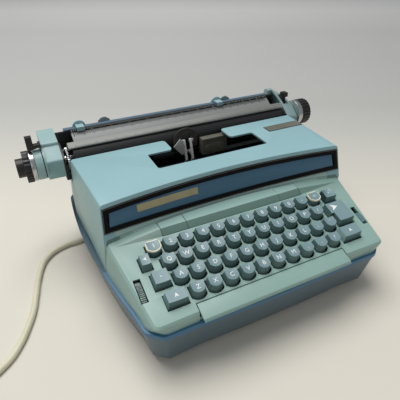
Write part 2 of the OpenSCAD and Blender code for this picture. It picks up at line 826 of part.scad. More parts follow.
module motor() color(steel) placed() {
  x0 = 58;
  x1 = 122;
  rod_x(x0, x1, motor_y, motor_z, motor_r);
  rod_x(x0 - 5, x0 + 1, motor_y, motor_z, 7);
  for (x = [x0 + 8, x1 - 14])
    translate([x, motor_y - 14, pan_z + pan_wall]) cube([6, 28, motor_z - pan_z - pan_wall - 8]);
}

module motor_pulley() color(steel) placed() {
  rod_x(122.4, belt_x + 4, motor_y, motor_z, 3);
  rod_x(belt_x - 3, belt_x + 3, motor_y, motor_z, pulley_small_r);
}

module power_roller() color(steel) placed() {
  rod_x(-plate_x - plate_t - 1, belt_x + 4, roller_y, roller_z, 3);
  rod_x(-plate_x + 3, plate_x - 3, roller_y, roller_z, roller_r);
  rod_x(belt_x - 3, belt_x + 3, roller_y, roller_z, pulley_big_r);
}

module belt_loop(extra) {
  hull() {
    translate([roller_y, roller_z]) circle(r = pulley_big_r + extra, $fn = 48);
    translate([motor_y, motor_z]) circle(r = pulley_small_r + extra, $fn = 48);
  }
}

module drive_belt() color(dark) placed() {
  gap = 0.35;
  side_extrude(belt_x - 2, 4) difference() {
    belt_loop(gap + belt_t);
    belt_loop(gap);
  }
}

guide_half = 6.2;
guide_post = 3;
card_y = 147.6;
card_t = 1.2;

module type_guide() color(chrome) placed() {
  for (s = [-1, 1])
    side_extrude(print_x + s * (guide_half - guide_post / 2) - guide_post / 2, guide_post) {
      polygon([[144, 135.5], [card_y, 135.5], [card_y, 131.5], [145.3, 130.5], [139, 110], [148.4, 93],
               [148.4, cross_z + 4],
               [cross_y + 0.2, cross_z + 4], [cross_y + 0.2, 92], [136.3, 110]]);
      polygon([[138, 114.5], [149, 114.5], [149, 118.5], [140, 118.5]]);
    }
  translate([print_x - guide_half, 147.5, 115]) cube([2 * guide_half, 1.5, 3]);
  for (s = [-1, 1]) translate([print_x + s * 7.2 - 2.2, card_y - 2.4, 131.5]) cube([4.4, 2.4, 4]);
  translate([0, 142.2, 0]) rotate([90, 0, 0]) linear_extrude(1.2)
    polygon([[print_x - guide_half + 1, 121], [-16.6, 116], [-28.3, 130.5], [-18.7, 140],
             [print_x - guide_half + 1, 129]]);
}

module card_holder() color([0.16, 0.16, 0.17]) placed() {
  arch_r = 18;
  arch_z = cover_z - 7.2;
  translate([0, card_y + card_t, 0]) rotate([90, 0, 0]) linear_extrude(card_t) difference() {
    union() {
      translate([print_x - 1.4, arch_z]) circle(r = arch_r, $fn = 96);
      translate([print_x - 1.4 - arch_r, 123]) square([2 * arch_r, arch_z - 123]);
    }
    translate([print_x - guide_half, 100]) square([2 * guide_half, 46]);
    translate([print_x - 60, 60]) square([120, 59]);
    translate([print_x - 1.4, 112]) circle(r = 16, $fn = 64);
  }
}

module cord_gland() color(dark) placed() {
  translate([gland_x, gland_y0, gland_z]) rotate([-90, 0, 0]) difference() {
    union() {
      cylinder(r = gland_r - fit, h = 14, $fn = 48);
      cylinder(r = gland_r + 3, h = 1.6, $fn = 48);
      translate([0, 0, 9.8]) cylinder(r1 = gland_r + 2, r2 = cord_r + 1.4, h = gland_y1 - gland_y0 - 9.8, $fn = 48);
    }
    translate([0, 0, gland_y1 - gland_y0 - 6]) cylinder(r1 = cord_r + 0.1, r2 = cord_r + 0.7, h = 6.01, $fn = 48);
  }
}

// Hand-chosen route of the free cord: out of the gland, down, under the rear corner, round to the coil
coil_centre = [-350, 12];
coil_from = -60;
coil_pitch = cord_d + 0.9;
coil_lift = cord_d + 0.7;
coil_out_r = coil_mid_r + coil_pitch * (coil_turns - 0.5) / 4;
coil_sides = 6;
coil_z = cord_r * cos(180 / coil_sides);
layer_turns = (coil_turns - 0.5) / 2;
coil_dir = [sin(coil_from), -cos(coil_from)];
coil_entry = coil_centre + coil_out_r * [cos(coil_from), sin(coil_from)];
cord_end = coil_entry - cord_d * coil_dir;
route = [
  [gland_x, gland_y1 - 6, gland_z], [gland_x, gland_y1 + 2, gland_z - 1], [-92, 232, 32],
  [-96, 238, 18], [-102, 240, 8], [-110, 235, cord_z], [-120, 218, cord_z], [-130, 196, cord_z],
  [-143, 177, cord_z], [-165, 166, cord_z], [-186, 164.5, cord_z], [-206, 157, cord_z],
  [-221, 141, cord_z], [-231, 115, cord_z], [-237, 90, cord_z], [-244, 61, cord_z],
  [-252, 41, cord_z], [-261.5, 22, cord_z], [-272.5, 7, cord_z], [-284, -2.5, cord_z],
  [-301, -14.5, cord_z], [cord_end[0], cord_end[1], cord_z]
];

function unit(v) = v / norm(v);
// Point on a Catmull-Rom curve through a, b, c, d between b and c
function through(a, b, c, d, t) = 0.5 * ((2 * b) + (c - a) * t + (2 * a - 5 * b + 4 * c - d) * t * t
                                          + (3 * b - a - 3 * c + d) * t * t * t);
cord_last = [coil_dir[0], coil_dir[1], 0];
route_ext = concat([route[0] - [0, 8, 0]], route, [route[len(route) - 1] + 14 * cord_last]);
cord_steps = 3;
function on_floor(p) = [p[0], p[1], max(cord_z, p[2])];
cord_path = [for (i = [1:len(route) - 1], k = [0:cord_steps - 1])
               on_floor(through(route_ext[i - 1], route_ext[i], route_ext[i + 1], route_ext[i + 2],
                                k / cord_steps)),
             route[len(route) - 1]];

// Closed tube of triangles round a path, with a flat facet underneath
module tube(path, r, sides, first, last) {
  n = len(path);
  dirs = [for (i = [0:n - 1]) i == 0 ? first : i == n - 1 ? last : unit(path[i + 1] - path[i - 1])];
  points = [for (i = [0:n - 1])
              let (s = unit(cross(dirs[i], [0, 0, 1])), u = cross(s, dirs[i]))
              for (k = [0:sides - 1])
                path[i] + r * (sin((k + 0.5) * 360 / sides) * s - cos((k + 0.5) * 360 / sides) * u)];
  walls = [for (i = [0:n - 2], k = [0:sides - 1])
             let (a = i * sides + k, b = i * sides + (k + 1) % sides)
             each [[a, b, b + sides], [a, b + sides, a + sides]]];
  ends = [for (k = [1:sides - 2])
            each [[0, k + 1, k],
                  [(n - 1) * sides, (n - 1) * sides + k, (n - 1) * sides + k + 1]]];
  polyhedron(points = points, faces = concat(walls, ends));
}

module power_cord() color(ivory) placed() {
  tube(cord_path, cord_r, cord_sides, [0, 1, 0], cord_last);
}

// One unbroken tube: in along the floor, up a layer within half a turn, and out again on top
coil_rings = 24;
coil_dip = 1.2;
tail_turn = 0.25;
tail_out = 17;
function coil_r(t) =
  t < layer_turns ? coil_out_r - coil_pitch * t
  : t < layer_turns + 0.5 ? coil_out_r - coil_pitch * layer_turns - coil_dip * sin(360 * (t - layer_turns))
  : t < coil_turns ? coil_out_r - coil_pitch * (coil_turns - t)
  : coil_out_r + tail_out * pow((t - coil_turns) / tail_turn, 2);
function coil_h(t) = coil_z + coil_lift * min(1, max(0, (t - layer_turns) / 0.5));
function coil_at(t) = [coil_centre[0] + coil_r(t) * cos(coil_from - 360 * t),
                       coil_centre[1] + coil_r(t) * sin(coil_from - 360 * t), coil_h(t)];
coil_len_t = coil_turns + tail_turn;
coil_n = round(coil_len_t * coil_rings);
coil_body = [for (i = [0:coil_n]) coil_at(coil_len_t * i / coil_n)];
coil_exit_dir = unit(coil_at(coil_len_t) - coil_at(coil_len_t - 0.01));
coil_start = [cord_end[0], cord_end[1], coil_z];
coil_end = coil_at(coil_len_t) + cord_d * coil_exit_dir;
coil_path = concat([coil_start], coil_body, [coil_end]);
coil_least = min([for (i = [0:4:coil_n], j = [i + 12:1:coil_n]) norm(coil_body[i] - coil_body[j])]) - cord_d;
echo(least_gap_of_the_coil_to_itself_mm = coil_least);
function path_len(p) = len(p) < 2 ? 0 : norm(p[1] - p[0]) + path_len([for (i = [1:len(p) - 1]) p[i]]);
echo(length_of_free_cord_and_coil_mm = path_len(cord_path) + path_len(coil_path));

module cord_coil() color(ivory) placed() {
  tube(coil_path, cord_r, coil_sides, cord_last, coil_exit_dir);
}

module plug() color(ivory) placed() {
  body_r = coil_z + coil_lift + 0.5;
  neck = 12;
  intersection() {
    translate(coil_end) rotate([0, 0, atan2(coil_exit_dir[1], coil_exit_dir[0])]) {
      rotate([0, 90, 0]) {
        cylinder(r1 = cord_r + 1, r2 = body_r - 3, h = neck, $fn = 48);
        translate([0, 0, neck]) cylinder(r = body_r, h = plug_len - neck, $fn = 64);
      }
      for (s = [-1, 1])
        translate([plug_len - 1, s * 6.3 - 0.75, -3.2]) cube([18, 1.5, 6.4]);
    }
    translate([-big, -big, 0]) cube([2 * big, 2 * big, big]);
  }
}

// Carriage

module end_plate(x0) {
  difference() {
    side_extrude(x0, end_t)
      polygon([[carriage_front + 0.1, 112], [carriage_front + 0.1, 131], [154, 139], [164, 144],
               [186, 147], [back_y, back_z], [back_y + 2.5, back_z], [back_y + 2.5, 107.5],
               [178.5, 107.5], [176, 108.6]]);
    rod_x(x0 - 1, x0 + end_t + 1, platen_y, platen_z, shaft_r + run_gap);
    rod_x(x0 - 1, x0 + end_t + 1, bail_y, bail_z, bail_pin_r + run_gap);
    side_extrude(x0 - 1, end_t + 2)
      translate([rail_y - rail_gap, 100]) square([rail_w + 2 * rail_gap, rail_z + rail_h + rail_gap - 100]);
    for (p = feed_axes()) rod_x(x0 - 1, x0 + end_t + 1, p[0], p[1], feed_shaft_r + fit);
  }
}

feed_r = 5;
feed_gap = 0.3;
feed_shaft_r = 1.6;
function feed_axes() = let (d = platen_r + feed_r + feed_gap) [
  [platen_y - 11, platen_z - sqrt(d * d - 121)],
  [platen_y + 6, platen_z - sqrt(d * d - 36)]
];

module carriage_frame() color(dark) placed() {
  x0 = cap_left_in + end_t - 0.5;
  x1 = cap_right_in - end_t + 0.5;
  shoe_z = rail_z + rail_h + rail_gap;
  end_plate(cap_left_in);
  end_plate(cap_right_in - end_t);
  side_extrude(x0, x1 - x0) {
    translate([back_y, 107.5]) square([2.5, back_z - 107.5]);
    translate([rail_y - rail_gap - 2.5, shoe_z]) square([back_y - rail_y + rail_gap + 3, 2.8]);
    translate([rail_y - rail_gap - 2.5, 107.5]) square([2.5, shoe_z - 107.5 + 0.5]);
  }
  translate([cap_left_in, carriage_front + 0.1, 112]) cube([end_t + 2, 2, 19]);
}

module feed_rollers() color(dark) placed() {
  for (p = feed_axes()) {
    rod_x(cap_left_in + 0.5, cap_right_in - 0.5, p[0], p[1], feed_shaft_r);
    for (x = [-130, -55, 25, 100]) rod_x(x, x + 30, p[0], p[1], feed_r);
  }
}

module left_profile(inset) {
  offset(delta = -inset) offset(r = 3, $fn = 32) offset(delta = -3)
    polygon([[carriage_front, 117], [carriage_front, 141], [170, 152], [170, 156], [206, 160],
             [212, 155], [212, 117]]);
}

lever_pin_r = 3;
lever_pin = [192, 146];

module left_end_cover() color(case_blue) placed() {
  w = cap_left_in - cap_left;
  difference() {
    union() {
      side_extrude(cap_left, w) left_profile(0);
      rod_x(collar_x, cap_left + 1, platen_y, platen_z, collar_r);
    }
    side_extrude(cap_left + shell, w) left_profile(shell);
    rod_x(collar_x - 1, cap_left_in, platen_y, platen_z, shaft_r + 0.4);
    difference() {
      rod_x(cap_left - 2.1, cap_left - 1.1, platen_y, platen_z, collar_r + 1);
      rod_x(cap_left - 3, cap_left, platen_y, platen_z, collar_r - 1);
    }
    rod_x(cap_left - 1, cap_left + shell + 1, lever_pin[0], lever_pin[1], lever_pin_r + run_gap);
  }
}

module right_slice(x, inset, high) {
  side_extrude(x, eps) offset(delta = -inset) offset(r = 3, $fn = 24) offset(delta = -3)
    polygon(high
      ? [[carriage_front, 117], [carriage_front, 138], [172, 154], [184, 159.5], [200, 165.7],
         [206, 163], [212, 150], [212, 117]]
      : [[carriage_front + 1.5, 117], [carriage_front + 1.5, 132], [168, 146], [185, 151],
         [200, 153], [208, 147], [208, 117]]);
}

release_pin = [180, 146];
release_x = 167;
release_w = 8;

module right_end_cover() color(case_blue) placed() {
  difference() {
    union() {
      hull() {
        right_slice(cap_right_in, 0, true);
        right_slice(cap_right - eps, 0, false);
      }
      side_extrude(cap_right_in - 7, 7.5)
        polygon([[196, 150], [196, 163.5], [200, 165.5], [205, 163], [208, 150]]);
    }
    hull() {
      right_slice(cap_right_in - 0.1, shell, true);
      right_slice(cap_right - shell, shell, false);
    }
    translate([cap_right_in - 0.1, carriage_front + shell, 117 + shell])
      cube([2, back_y + 2.5 - carriage_front - shell, 20]);
    rod_x(cap_right_in - 1, cap_right + 1, platen_y, platen_z, shaft_r + 0.4);
    translate([release_x - 0.8, 162, 148]) cube([release_w + 1.6, 25, 22]);
    rod_x(cap_right - shell - 3, cap_right - 0.8, release_pin[0], release_pin[1], 2 + run_gap);
  }
}

module paper_table() color([0.55, 0.55, 0.56]) placed() {
  side_extrude(-table_half, 2 * table_half)
    polygon([[175.9, 147.2], [189.8, 155.4], [189.8, 152.2], [back_y, 152.2], [back_y, 151],
             [188.6, 151], [188.6, 153.2], [176.6, 146.1]]);
}

module margin_scale() color(dark) placed() {
  side_extrude(-scale_half, 2 * scale_half)
    polygon([[back_y - 2, 153.8], [back_y, 153.8], [back_y, scale_z], [back_y - 2, scale_z]]);
}

module scale_cover() color(pan_blue) placed() {
  side_extrude(hood_left, hood_right - hood_left)
    polygon([[back_y, back_z], [back_y, scale_z], [199.4, scale_z], [199.4, 149], [205.8, 149],
             [205.8, 147], [197.4, 147], [197.4, back_z]]);
  for (x = [-102, 82.7]) translate([x, 205.8, 0]) rotate([90, 0, 0]) linear_extrude(2) {
    translate([-8, 148.5]) square([16, 11.5]);
    intersection() {
      translate([0, 155.5]) circle(r = 8, $fn = 64);
      translate([-8, 159]) square([16, 10]);
    }
  }
}

module margin_stop(x) {
  side_extrude(x - 5, 10)
    polygon([[188.4, 156.2], [189.7, 156.2], [189.7, scale_z + 0.4], [199.8, scale_z + 0.4],
             [199.8, 151.2], [202.3, 151.2], [202.3, scale_z + 2.2], [188.4, scale_z + 2.2]]);
  translate([x, 202.3, 157.5]) rotate([90, 0, 0]) cylinder(r = 8.5, h = 2.5, $fn = 96);
}

module margin_stop_body(x) {
  difference() {
    margin_stop(x);
    translate([x - 20, 190, 140]) cube([40, 20, 12]);
  }
}

module margin_stop_left() color(case_blue) placed() {
  margin_stop_body(stop_left_x);
}

module margin_stop_right() color(case_blue) placed() {
  margin_stop_body(stop_right_x);
}

module platen() color(dark) placed() {
  difference() {
    rod_x(-platen_half, platen_half, platen_y, platen_z, platen_r);
    rod_x(-platen_half - 1, platen_half + 1, platen_y, platen_z, shaft_r + fit);
  }
}

module toothed(r, teeth, depth) {
  polygon([for (i = [0:teeth * 2 - 1])
             let (a = i * 180 / teeth, q = i % 2 == 0 ? r : r - depth) [q * cos(a), q * sin(a)]]);
}

module platen_shaft() color(chrome) placed() {
  gap = 0.4;
  rod_x(knob_left_end + 2, knob_right_end - 2, platen_y, platen_z, shaft_r);
  rod_x(knob_left_in, collar_x - gap, platen_y, platen_z, knob_r - 0.4);
  rod_x(cap_right + gap, knob_right_in, platen_y, platen_z, knob_r - 0.6);
  translate([-163, platen_y, platen_z]) rotate([90, 0, 90]) linear_extrude(3) toothed(14, 36, 1.2);
}

module fluted(r) {
  n = flutes * 4;
  polygon([for (i = [0:n - 1])
             let (a = i * 360 / n, q = r - (i % 4 == 2 ? 0.9 : i % 2 == 1 ? 0.5 : 0))
             [platen_y + q * cos(a), platen_z + q * sin(a)]]);
}

module left_knob() color(dark) placed() {
  difference() {
    union() {
      side_extrude(knob_left_face, knob_left_in - knob_left_face) fluted(knob_r);
      rod_x(knob_left_end, knob_left_face + 1, platen_y, platen_z, hub_r);
    }
    rod_x(knob_left_end + 2, knob_left_in + 1, platen_y, platen_z, shaft_r + fit);
  }
}

module right_knob() color(dark) placed() {
  difference() {
    side_extrude(knob_right_in, knob_right_end - knob_right_in) fluted(knob_r);
    rod_x(knob_right_in - 1, knob_right_end - 2, platen_y, platen_z, shaft_r + fit);
  }
}

module paper_bail() color(steel) placed() {
  arm_w = 2;
  x0 = cap_left_in + 9.5;
  x1 = cap_right_in - 4;
  side_extrude(x0, x1 - x0)
    polygon([[157, 148.7], [157, 150.2], [165, 154.2], [165.6, 152.9]]);
  for (q = [x0, x1 - arm_w])
    side_extrude(q, arm_w) polygon([[157, 148.7], [157, 150.2], [165, 154.2], [bail_y + 3, bail_z + 3],
                                    [bail_y + 3, bail_z - 3], [bail_y - 3, bail_z - 3]]);
  rod_x(cap_left_in + 0.6, x0 + 0.5, bail_y, bail_z, bail_pin_r);
  rod_x(x1 - 0.5, cap_right_in - 0.6, bail_y, bail_z, bail_pin_r);
}

module carriage_release_lever() color(dark) placed() {
  side_extrude(cap_left - 2.6, 2.2)
    polygon([[197, 144], [193, 141], [188, 142], [168, 155], [163, 156], [163, 160], [170, 160],
             [196, 150]]);
  translate([-202, 163, 156]) cube([202 + cap_left - 0.6, 7, 3.4]);
  side_extrude(-202, 5) polygon([[163, 156], [170, 156], [169, 170.6], [163, 170.6]]);
  rod_x(cap_left - 1, cap_left + shell - 0.2, lever_pin[0], lever_pin[1], lever_pin_r);
}

module paper_release_lever() color(dark) placed() {
  side_extrude(release_x, release_w)
    polygon([[176.5, 143], [183, 143], [182.5, 156], [180, 165], [171, 165], [170.5, 159],
             [176, 156]]);
  rod_x(release_x + release_w - 1, cap_right - 1, release_pin[0], release_pin[1], 2);
}

module ribbon_cartridge() color([0.2, 0.2, 0.21]) placed() {
  c = cartridge;
  difference() {
    translate([c[0], c[1], c[2]]) cube([c[3], c[4], c[5]]);
    translate([c[0] + 7, c[1] - 1, c[2] + 13.5]) cube([24, 2, 6]);
  }
  for (x = [c[0] + 9, c[0] + 29])
    translate([x, c[1] + 0.5, c[2] + 8]) rotate([90, 0, 0]) cylinder(r = 5, h = 1.5, $fn = 48);
}

// Frame of the tilted type basket
module basket_frame() {
  translate([print_x, basket_y, basket_z]) rotate([basket_tilt, 0, 0]) children();
}

module type_segment() color(steel) placed() {
  difference() {
    union() {
      basket_frame() difference() {
        translate([0, 0, -7]) cylinder(r = ring_r + 7, h = 11, $fn = 128);
        translate([0, 0, -8]) cylinder(r = ring_r - 7, h = 13, $fn = 128);
        translate([-60, -7, -20]) cube([120, 80, 40]);
      }
      for (s = [-1, 1]) {
        translate([print_x + s * guide_rod_dx, guide_rod_y, 76]) cylinder(r = 6, h = 12, $fn = 64);
        translate([print_x + s * 39 - 5, 150, 77]) cube([10, 8, 8]);
      }
    }
    basket_frame() for (i = [-bars_side:bars_side])
      rotate([0, 0, i * bar_step]) translate([-bar_t / 2 - 0.1, -ring_r - 8, -2.4])
        cube([bar_t + 0.2, 13.5, 8]);
    for (s = [-1, 1])
      translate([print_x + s * guide_rod_dx, guide_rod_y, 60])
        cylinder(r = guide_rod_r + run_gap, h = 60, $fn = 48);
  }
  basket_frame() rod_x(-bar_t / 2 - 0.6, bar_t / 2 + 0.6, -ring_r, 0, 0.8);
}

// Outline of a type bar and of its head, drawn with the pivot at the origin and the bar toward -y
module bar_outline() {
  polygon([[0, -1.8], [0, 1.8], [-bar_len + 6, 1.2], [-bar_len + 6, -1.2]]);
  circle(r = 2.2, $fn = 32);
}

module head_outline() {
  a = bar_len - 8;
  b = bar_len + 7;
  polygon([[-a, -1.6], [-a, 4.66], [-b, 0.6], [-b, -1.6]]);
}

module type_bar(angle, hole) {
  basket_frame() rotate([0, 0, angle]) translate([0, -ring_r, 0]) rotate([-bar_rise, 0, 0]) {
    side_extrude(-bar_t / 2, bar_t) difference() {
      bar_outline();
      circle(r = hole, $fn = 32);
    }
    side_extrude(-head_w / 2, head_w) head_outline();
  }
}

module type_bars() color(steel) placed() {
  for (i = [1:bars_side], s = [-1, 1]) type_bar(s * i * bar_step, 0.9);
}

module center_type_bar() color(steel) placed() {
  type_bar(0, 0.8 + run_gap);
}

// Keys

// Body of a key: a tapered block, hollow on top, in the deck's own frame
module cap_sides(w, d) {
  h = key_rise + key_drop;
  translate([0, 0, -key_drop]) intersection() {
    rotate([90, 0, 0]) linear_extrude(60, center = true)
      polygon([[-w / 2 - key_flare, 0], [w / 2 + key_flare, 0], [w / 2, h], [-w / 2, h]]);
    rotate([90, 0, 90]) linear_extrude(60, center = true)
      polygon([[-d / 2 - key_lip, 0], [d / 2 + 0.8, 0], [d / 2, h], [-d / 2, h]]);
  }
}

module cap_dish(w) {
  r = w * w / (8 * key_dish);
  translate([0, 0, key_rise - key_dish + r]) rotate([90, 0, 0])
    cylinder(r = r, h = 80, center = true, $fn = 128);
}

module letter_cap(w, d) {
  h = key_rise + key_drop;
  difference() {
    intersection() {
      cap_sides(w, d);
      translate([0, 2.3, -key_drop]) cylinder(r1 = d / 2 + key_lip + 2.3, r2 = d / 2 + 2.3, h = h, $fn = 64);
    }
    cap_dish(w);
  }
}

module cap_at(x, v) {
  deck_frame() translate([x, v, 0]) children();
}

function stem_y(v) = v * cos_d + key_drop * sin_d;
function stem_top(v) = deck_z + v * sin_d - key_drop * cos_d + stem_grip;

module lever_outline(y, top) {
  difference() {
    union() {
      translate([y - stem_w / 2, pivot_z - lever_h / 2]) square([pivot_y - y + stem_w / 2, lever_h]);
      translate([y - stem_w / 2, pivot_z - lever_h / 2]) square([stem_w, top - pivot_z + lever_h / 2]);
      translate([pivot_y, pivot_z]) circle(r = hub_len_r, $fn = 48);
    }
    translate([pivot_y, pivot_z]) circle(r = pivot_r + run_gap, $fn = 48);
  }
}

module lever(x, v) {
  side_extrude(x - lever_t / 2, lever_t) lever_outline(stem_y(v), stem_top(v));
}

module row_levers(r) {
  for (i = [0:row_n[r] - 1])
    if (r != 2 || i != letter_at) lever(row_x[r] + i * key_pitch, row_v[r]);
}

module row_caps(r) {
  for (i = [0:row_n[r] - 1])
    if (r != 2 || i != letter_at)
      difference() {
        cap_at(row_x[r] + i * key_pitch, row_v[r]) letter_cap(key_w, key_d);
        lever(row_x[r] + i * key_pitch, row_v[r]);
      }
}

module number_row_keys() color(key_blue) placed() {
  row_caps(0);
}

module number_row_levers() color(steel) placed() {
  row_levers(0);
}

module key_rings() color(ivory) placed() {
  for (i = [0, row_n[0] - 1])
    cap_at(row_x[0] + i * key_pitch, row_v[0]) difference() {
      intersection() {
        translate([0, 0, 0]) letter_cap(key_w + 2 * ring_w, key_d + 2 * ring_w);
        translate([-20, -20, key_rise - 2.6]) cube([40, 40, 2.2]);
      }
      intersection() {
        cap_sides(key_w, key_d);
        translate([0, 2.3, -key_drop])
          cylinder(r1 = key_d / 2 + key_lip + 2.3, r2 = key_d / 2 + 2.3, h = key_rise + key_drop, $fn = 64);
      }
    }
}

module upper_row_keys() color(key_blue) placed() {
  row_caps(1);
}

module upper_row_levers() color(steel) placed() {
  row_levers(1);
}

module home_row_keys() color(key_blue) placed() {
  row_caps(2);
}

module home_row_levers() color(steel) placed() {
  row_levers(2);
}

module lower_row_keys() color(key_blue) placed() {
  row_caps(3);
}

module lower_row_levers() color(steel) placed() {
  row_levers(3);
}

module letter_key() color(key_blue) placed() {
  x = row_x[2] + letter_at * key_pitch;
  cap_at(x, row_v[2]) letter_cap(key_w, key_d);
  lever(x, row_v[2]);
}

module box_key(k) {
  v = down(k[1]);
  cap_at(k[0], v) difference() {
    cap_sides(k[2], k[3]);
    cap_dish(k[2]);
  }
  lever(k[4], v);
}

module backspace_key() color(key_blue) placed() {
  box_key(key_back);
}

module shift_lock_key() color(key_blue) placed() {
  box_key(key_lock);
}

module shift_keys() color(key_blue) placed() {
  for (k = [key_shift_l, key_shift_r]) {
    box_key(k);
    side_extrude(k[4] - lever_t / 2, lever_t)
      translate([shift_tube_y - 4, shift_tube_z]) square([8, pivot_z - shift_tube_z]);
  }
  rod_x(key_shift_l[4] - lever_t / 2, key_shift_r[4] + lever_t / 2, shift_tube_y, shift_tube_z, shift_tube_r);
}

module margin_release_key() color(key_blue) placed() {
  box_key(key_margin);
}

module return_key() color(key_blue) placed() {
  k = key_return;
  v = down(k[1]);
  cap_at(k[0], v) difference() {
    union() {
      intersection() {
        cap_sides(k[2], k[3]);
        translate([-30, -return_split, -20]) cube([60, 60, 60]);
      }
      intersection() {
        translate([return_step / 2, 0, 0]) cap_sides(k[2] - return_step, k[3]);
        translate([-30, -60, -20]) cube([60, 61, 60]);
      }
    }
    cap_dish(k[2]);
  }
  lever(k[4], v);
}

module space_bar() color(deck_green) placed() {
  f = space_front;
  side_extrude(space_x0, space_x1 - space_x0)
    polygon([[space_back, deck_top(space_back)], [f + 1, deck_top(f + 1)], [f, deck_top(f) - 1.2],
             [f, deck_top(f) - 6.5], [f + 2, deck_top(f) - 6.5], [f + 2, deck_top(f + 2) - space_t],
             [space_back, deck_top(space_back) - space_t]]);
  for (x = space_arms)
    side_extrude(x - arm_t / 2, arm_t) difference() {
      union() {
        translate([-70, pivot_z - lever_h / 2]) square([pivot_y + 70, lever_h]);
        polygon([[-70, pivot_z], [-65, pivot_z], [-65, deck_top(-66) - space_t], [-66, deck_top(-66) - 1],
                 [-70, deck_top(-70) - 1]]);
        translate([pivot_y, pivot_z]) circle(r = hub_len_r, $fn = 48);
      }
      translate([pivot_y, pivot_z]) circle(r = pivot_r + run_gap, $fn = 48);
    }
}

// Tab controls in the ledge
module tab_piece(x0, x1) {
  base = deck_top(ledge_y) - tab_depth;
  intersection() {
    side_extrude(x0, x1 - x0) ledge_section(0, base);
    seam_side(tab_back_gap);
  }
}

module tab_pin(x) {
  translate([x, tab_rail_y + tab_rail_w / 2, tab_rail_z - 5])
    cylinder(r = tab_pin_r, h = deck_top(ledge_y) - tab_depth + 1 - tab_rail_z + 5, $fn = 48);
}

module tab_bar() color(deck_green) placed() {
  tab_piece(tab_x1 + tab_gap / 2, tab_x2 - tab_gap / 2);
  tab_pin(tab_pins[1]);
  tab_pin(tab_pins[2]);
}

module tab_clear_button() color(deck_green) placed() {
  tab_piece(tab_x0, tab_x1 - tab_gap / 2);
  tab_pin(tab_pins[0]);
}

module tab_set_button() color(deck_green) placed() {
  tab_piece(tab_x2 + tab_gap / 2, tab_x3);
  tab_pin(tab_pins[3]);
}

module impression_wheel() color(steel) placed() {
  p = wheel_centre();
  translate([wheel_x - wheel_t / 2, p[0], p[1]]) rotate([90, 0, 90]) linear_extrude(wheel_t)
    difference() {
      toothed(wheel_r, 54, 0.8);
      circle(r = 3 + run_gap, $fn = 48);
    }
}

module power_switch() color([0.25, 0.38, 0.47]) placed() {
  deck_frame() translate([switch_x, slot_v - 4, 0]) {
    difference() {
      translate([-switch_slot / 2 + 0.4, -6, -4]) cube([switch_slot - 0.8, 12, 5.4]);
      for (i = [-2:2]) translate([-10, 2 * i - 0.5, 0.8]) cube([20, 1, 2]);
    }
    translate([-5.5, -9, -5]) cube([8.1, 18, 2.1]);
  }
}

base_pan();
rubber_feet();
chassis_frame();
keyboard_housing();
rear_housing();
motor();
drive_belt();
power_roller();
motor_pulley();
type_guide();
card_holder();
cord_gland();
power_cord();
cord_coil();
plug();
top_cover();
front_frame();
frame_insert();
carriage_frame();
left_end_cover();
right_end_cover();
paper_table();
margin_scale();
scale_cover();
feed_rollers();
platen();
platen_shaft();
left_knob();
right_knob();
paper_bail();
carriage_release_lever();
paper_release_lever();
margin_stop_left();
margin_stop_right();
ribbon_cartridge();
type_segment();
type_bars();
center_type_bar();
number_row_keys();
number_row_levers();
key_rings();
upper_row_keys();
upper_row_levers();
home_row_keys();
home_row_levers();
lower_row_keys();
lower_row_levers();
letter_key();
backspace_key();
shift_lock_key();
shift_keys();
margin_release_key();
return_key();
space_bar();
tab_bar();
tab_clear_button();
tab_set_button();
impression_wheel();
power_switch();
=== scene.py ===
# Looks of the electric typewriter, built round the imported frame. Metres, in the frame's own axes.
import json
from math import sin, cos, tan, pi, radians, degrees, sqrt, hypot, atan2

import bmesh
import bpy
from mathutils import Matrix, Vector


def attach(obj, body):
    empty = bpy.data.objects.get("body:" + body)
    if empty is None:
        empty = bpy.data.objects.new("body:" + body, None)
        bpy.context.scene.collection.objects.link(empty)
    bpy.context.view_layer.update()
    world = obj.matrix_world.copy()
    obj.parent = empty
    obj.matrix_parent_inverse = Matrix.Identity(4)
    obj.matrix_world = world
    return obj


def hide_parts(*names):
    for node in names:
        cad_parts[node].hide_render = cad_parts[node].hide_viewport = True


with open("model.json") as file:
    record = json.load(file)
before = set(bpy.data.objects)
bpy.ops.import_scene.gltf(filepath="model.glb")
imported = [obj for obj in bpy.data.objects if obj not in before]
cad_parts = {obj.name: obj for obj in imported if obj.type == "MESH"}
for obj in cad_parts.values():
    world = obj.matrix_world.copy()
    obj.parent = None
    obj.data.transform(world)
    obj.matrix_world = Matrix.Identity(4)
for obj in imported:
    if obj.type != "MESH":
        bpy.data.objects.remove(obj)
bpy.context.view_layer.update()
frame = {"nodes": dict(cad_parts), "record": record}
NODES = frame["nodes"]
RECORD = frame["record"]
BODY = {n: b for b, ns in RECORD["behaviour"]["bodies"].items() for n in ns}
SLOT = {s["node"]: s["material_slot"] for s in RECORD["subparts"]}
scene = bpy.context.scene
scene.view_settings.view_transform = "Standard"

# Places, in the machine's millimetres
SLOPE = radians(17.145)
DECK_Z = 91.0
SPACE_FRONT = -85.0
LEAN = radians(13.6)
WALL_R, WALL_Y, WALL_Z = 895.0, 38.0, 99.5
# Where the machine's own origin lies in the frame
ORIGIN_X, ORIGIN_Y = 8, -64


def at(x, y, z):
    """Machine millimetres to the frame's metres."""
    return Vector(((x + ORIGIN_X) / 1000, (y + ORIGIN_Y) / 1000, z / 1000))


def machine(p):
    """The frame's metres to machine millimetres."""
    return p[0] * 1000 - ORIGIN_X, p[1] * 1000 - ORIGIN_Y, p[2] * 1000


def deck(x, v, w):
    """A point v up the keyboard deck and w above it."""
    return at(x, v * cos(SLOPE) - w * sin(SLOPE), DECK_Z + v * sin(SLOPE) + w * cos(SLOPE))


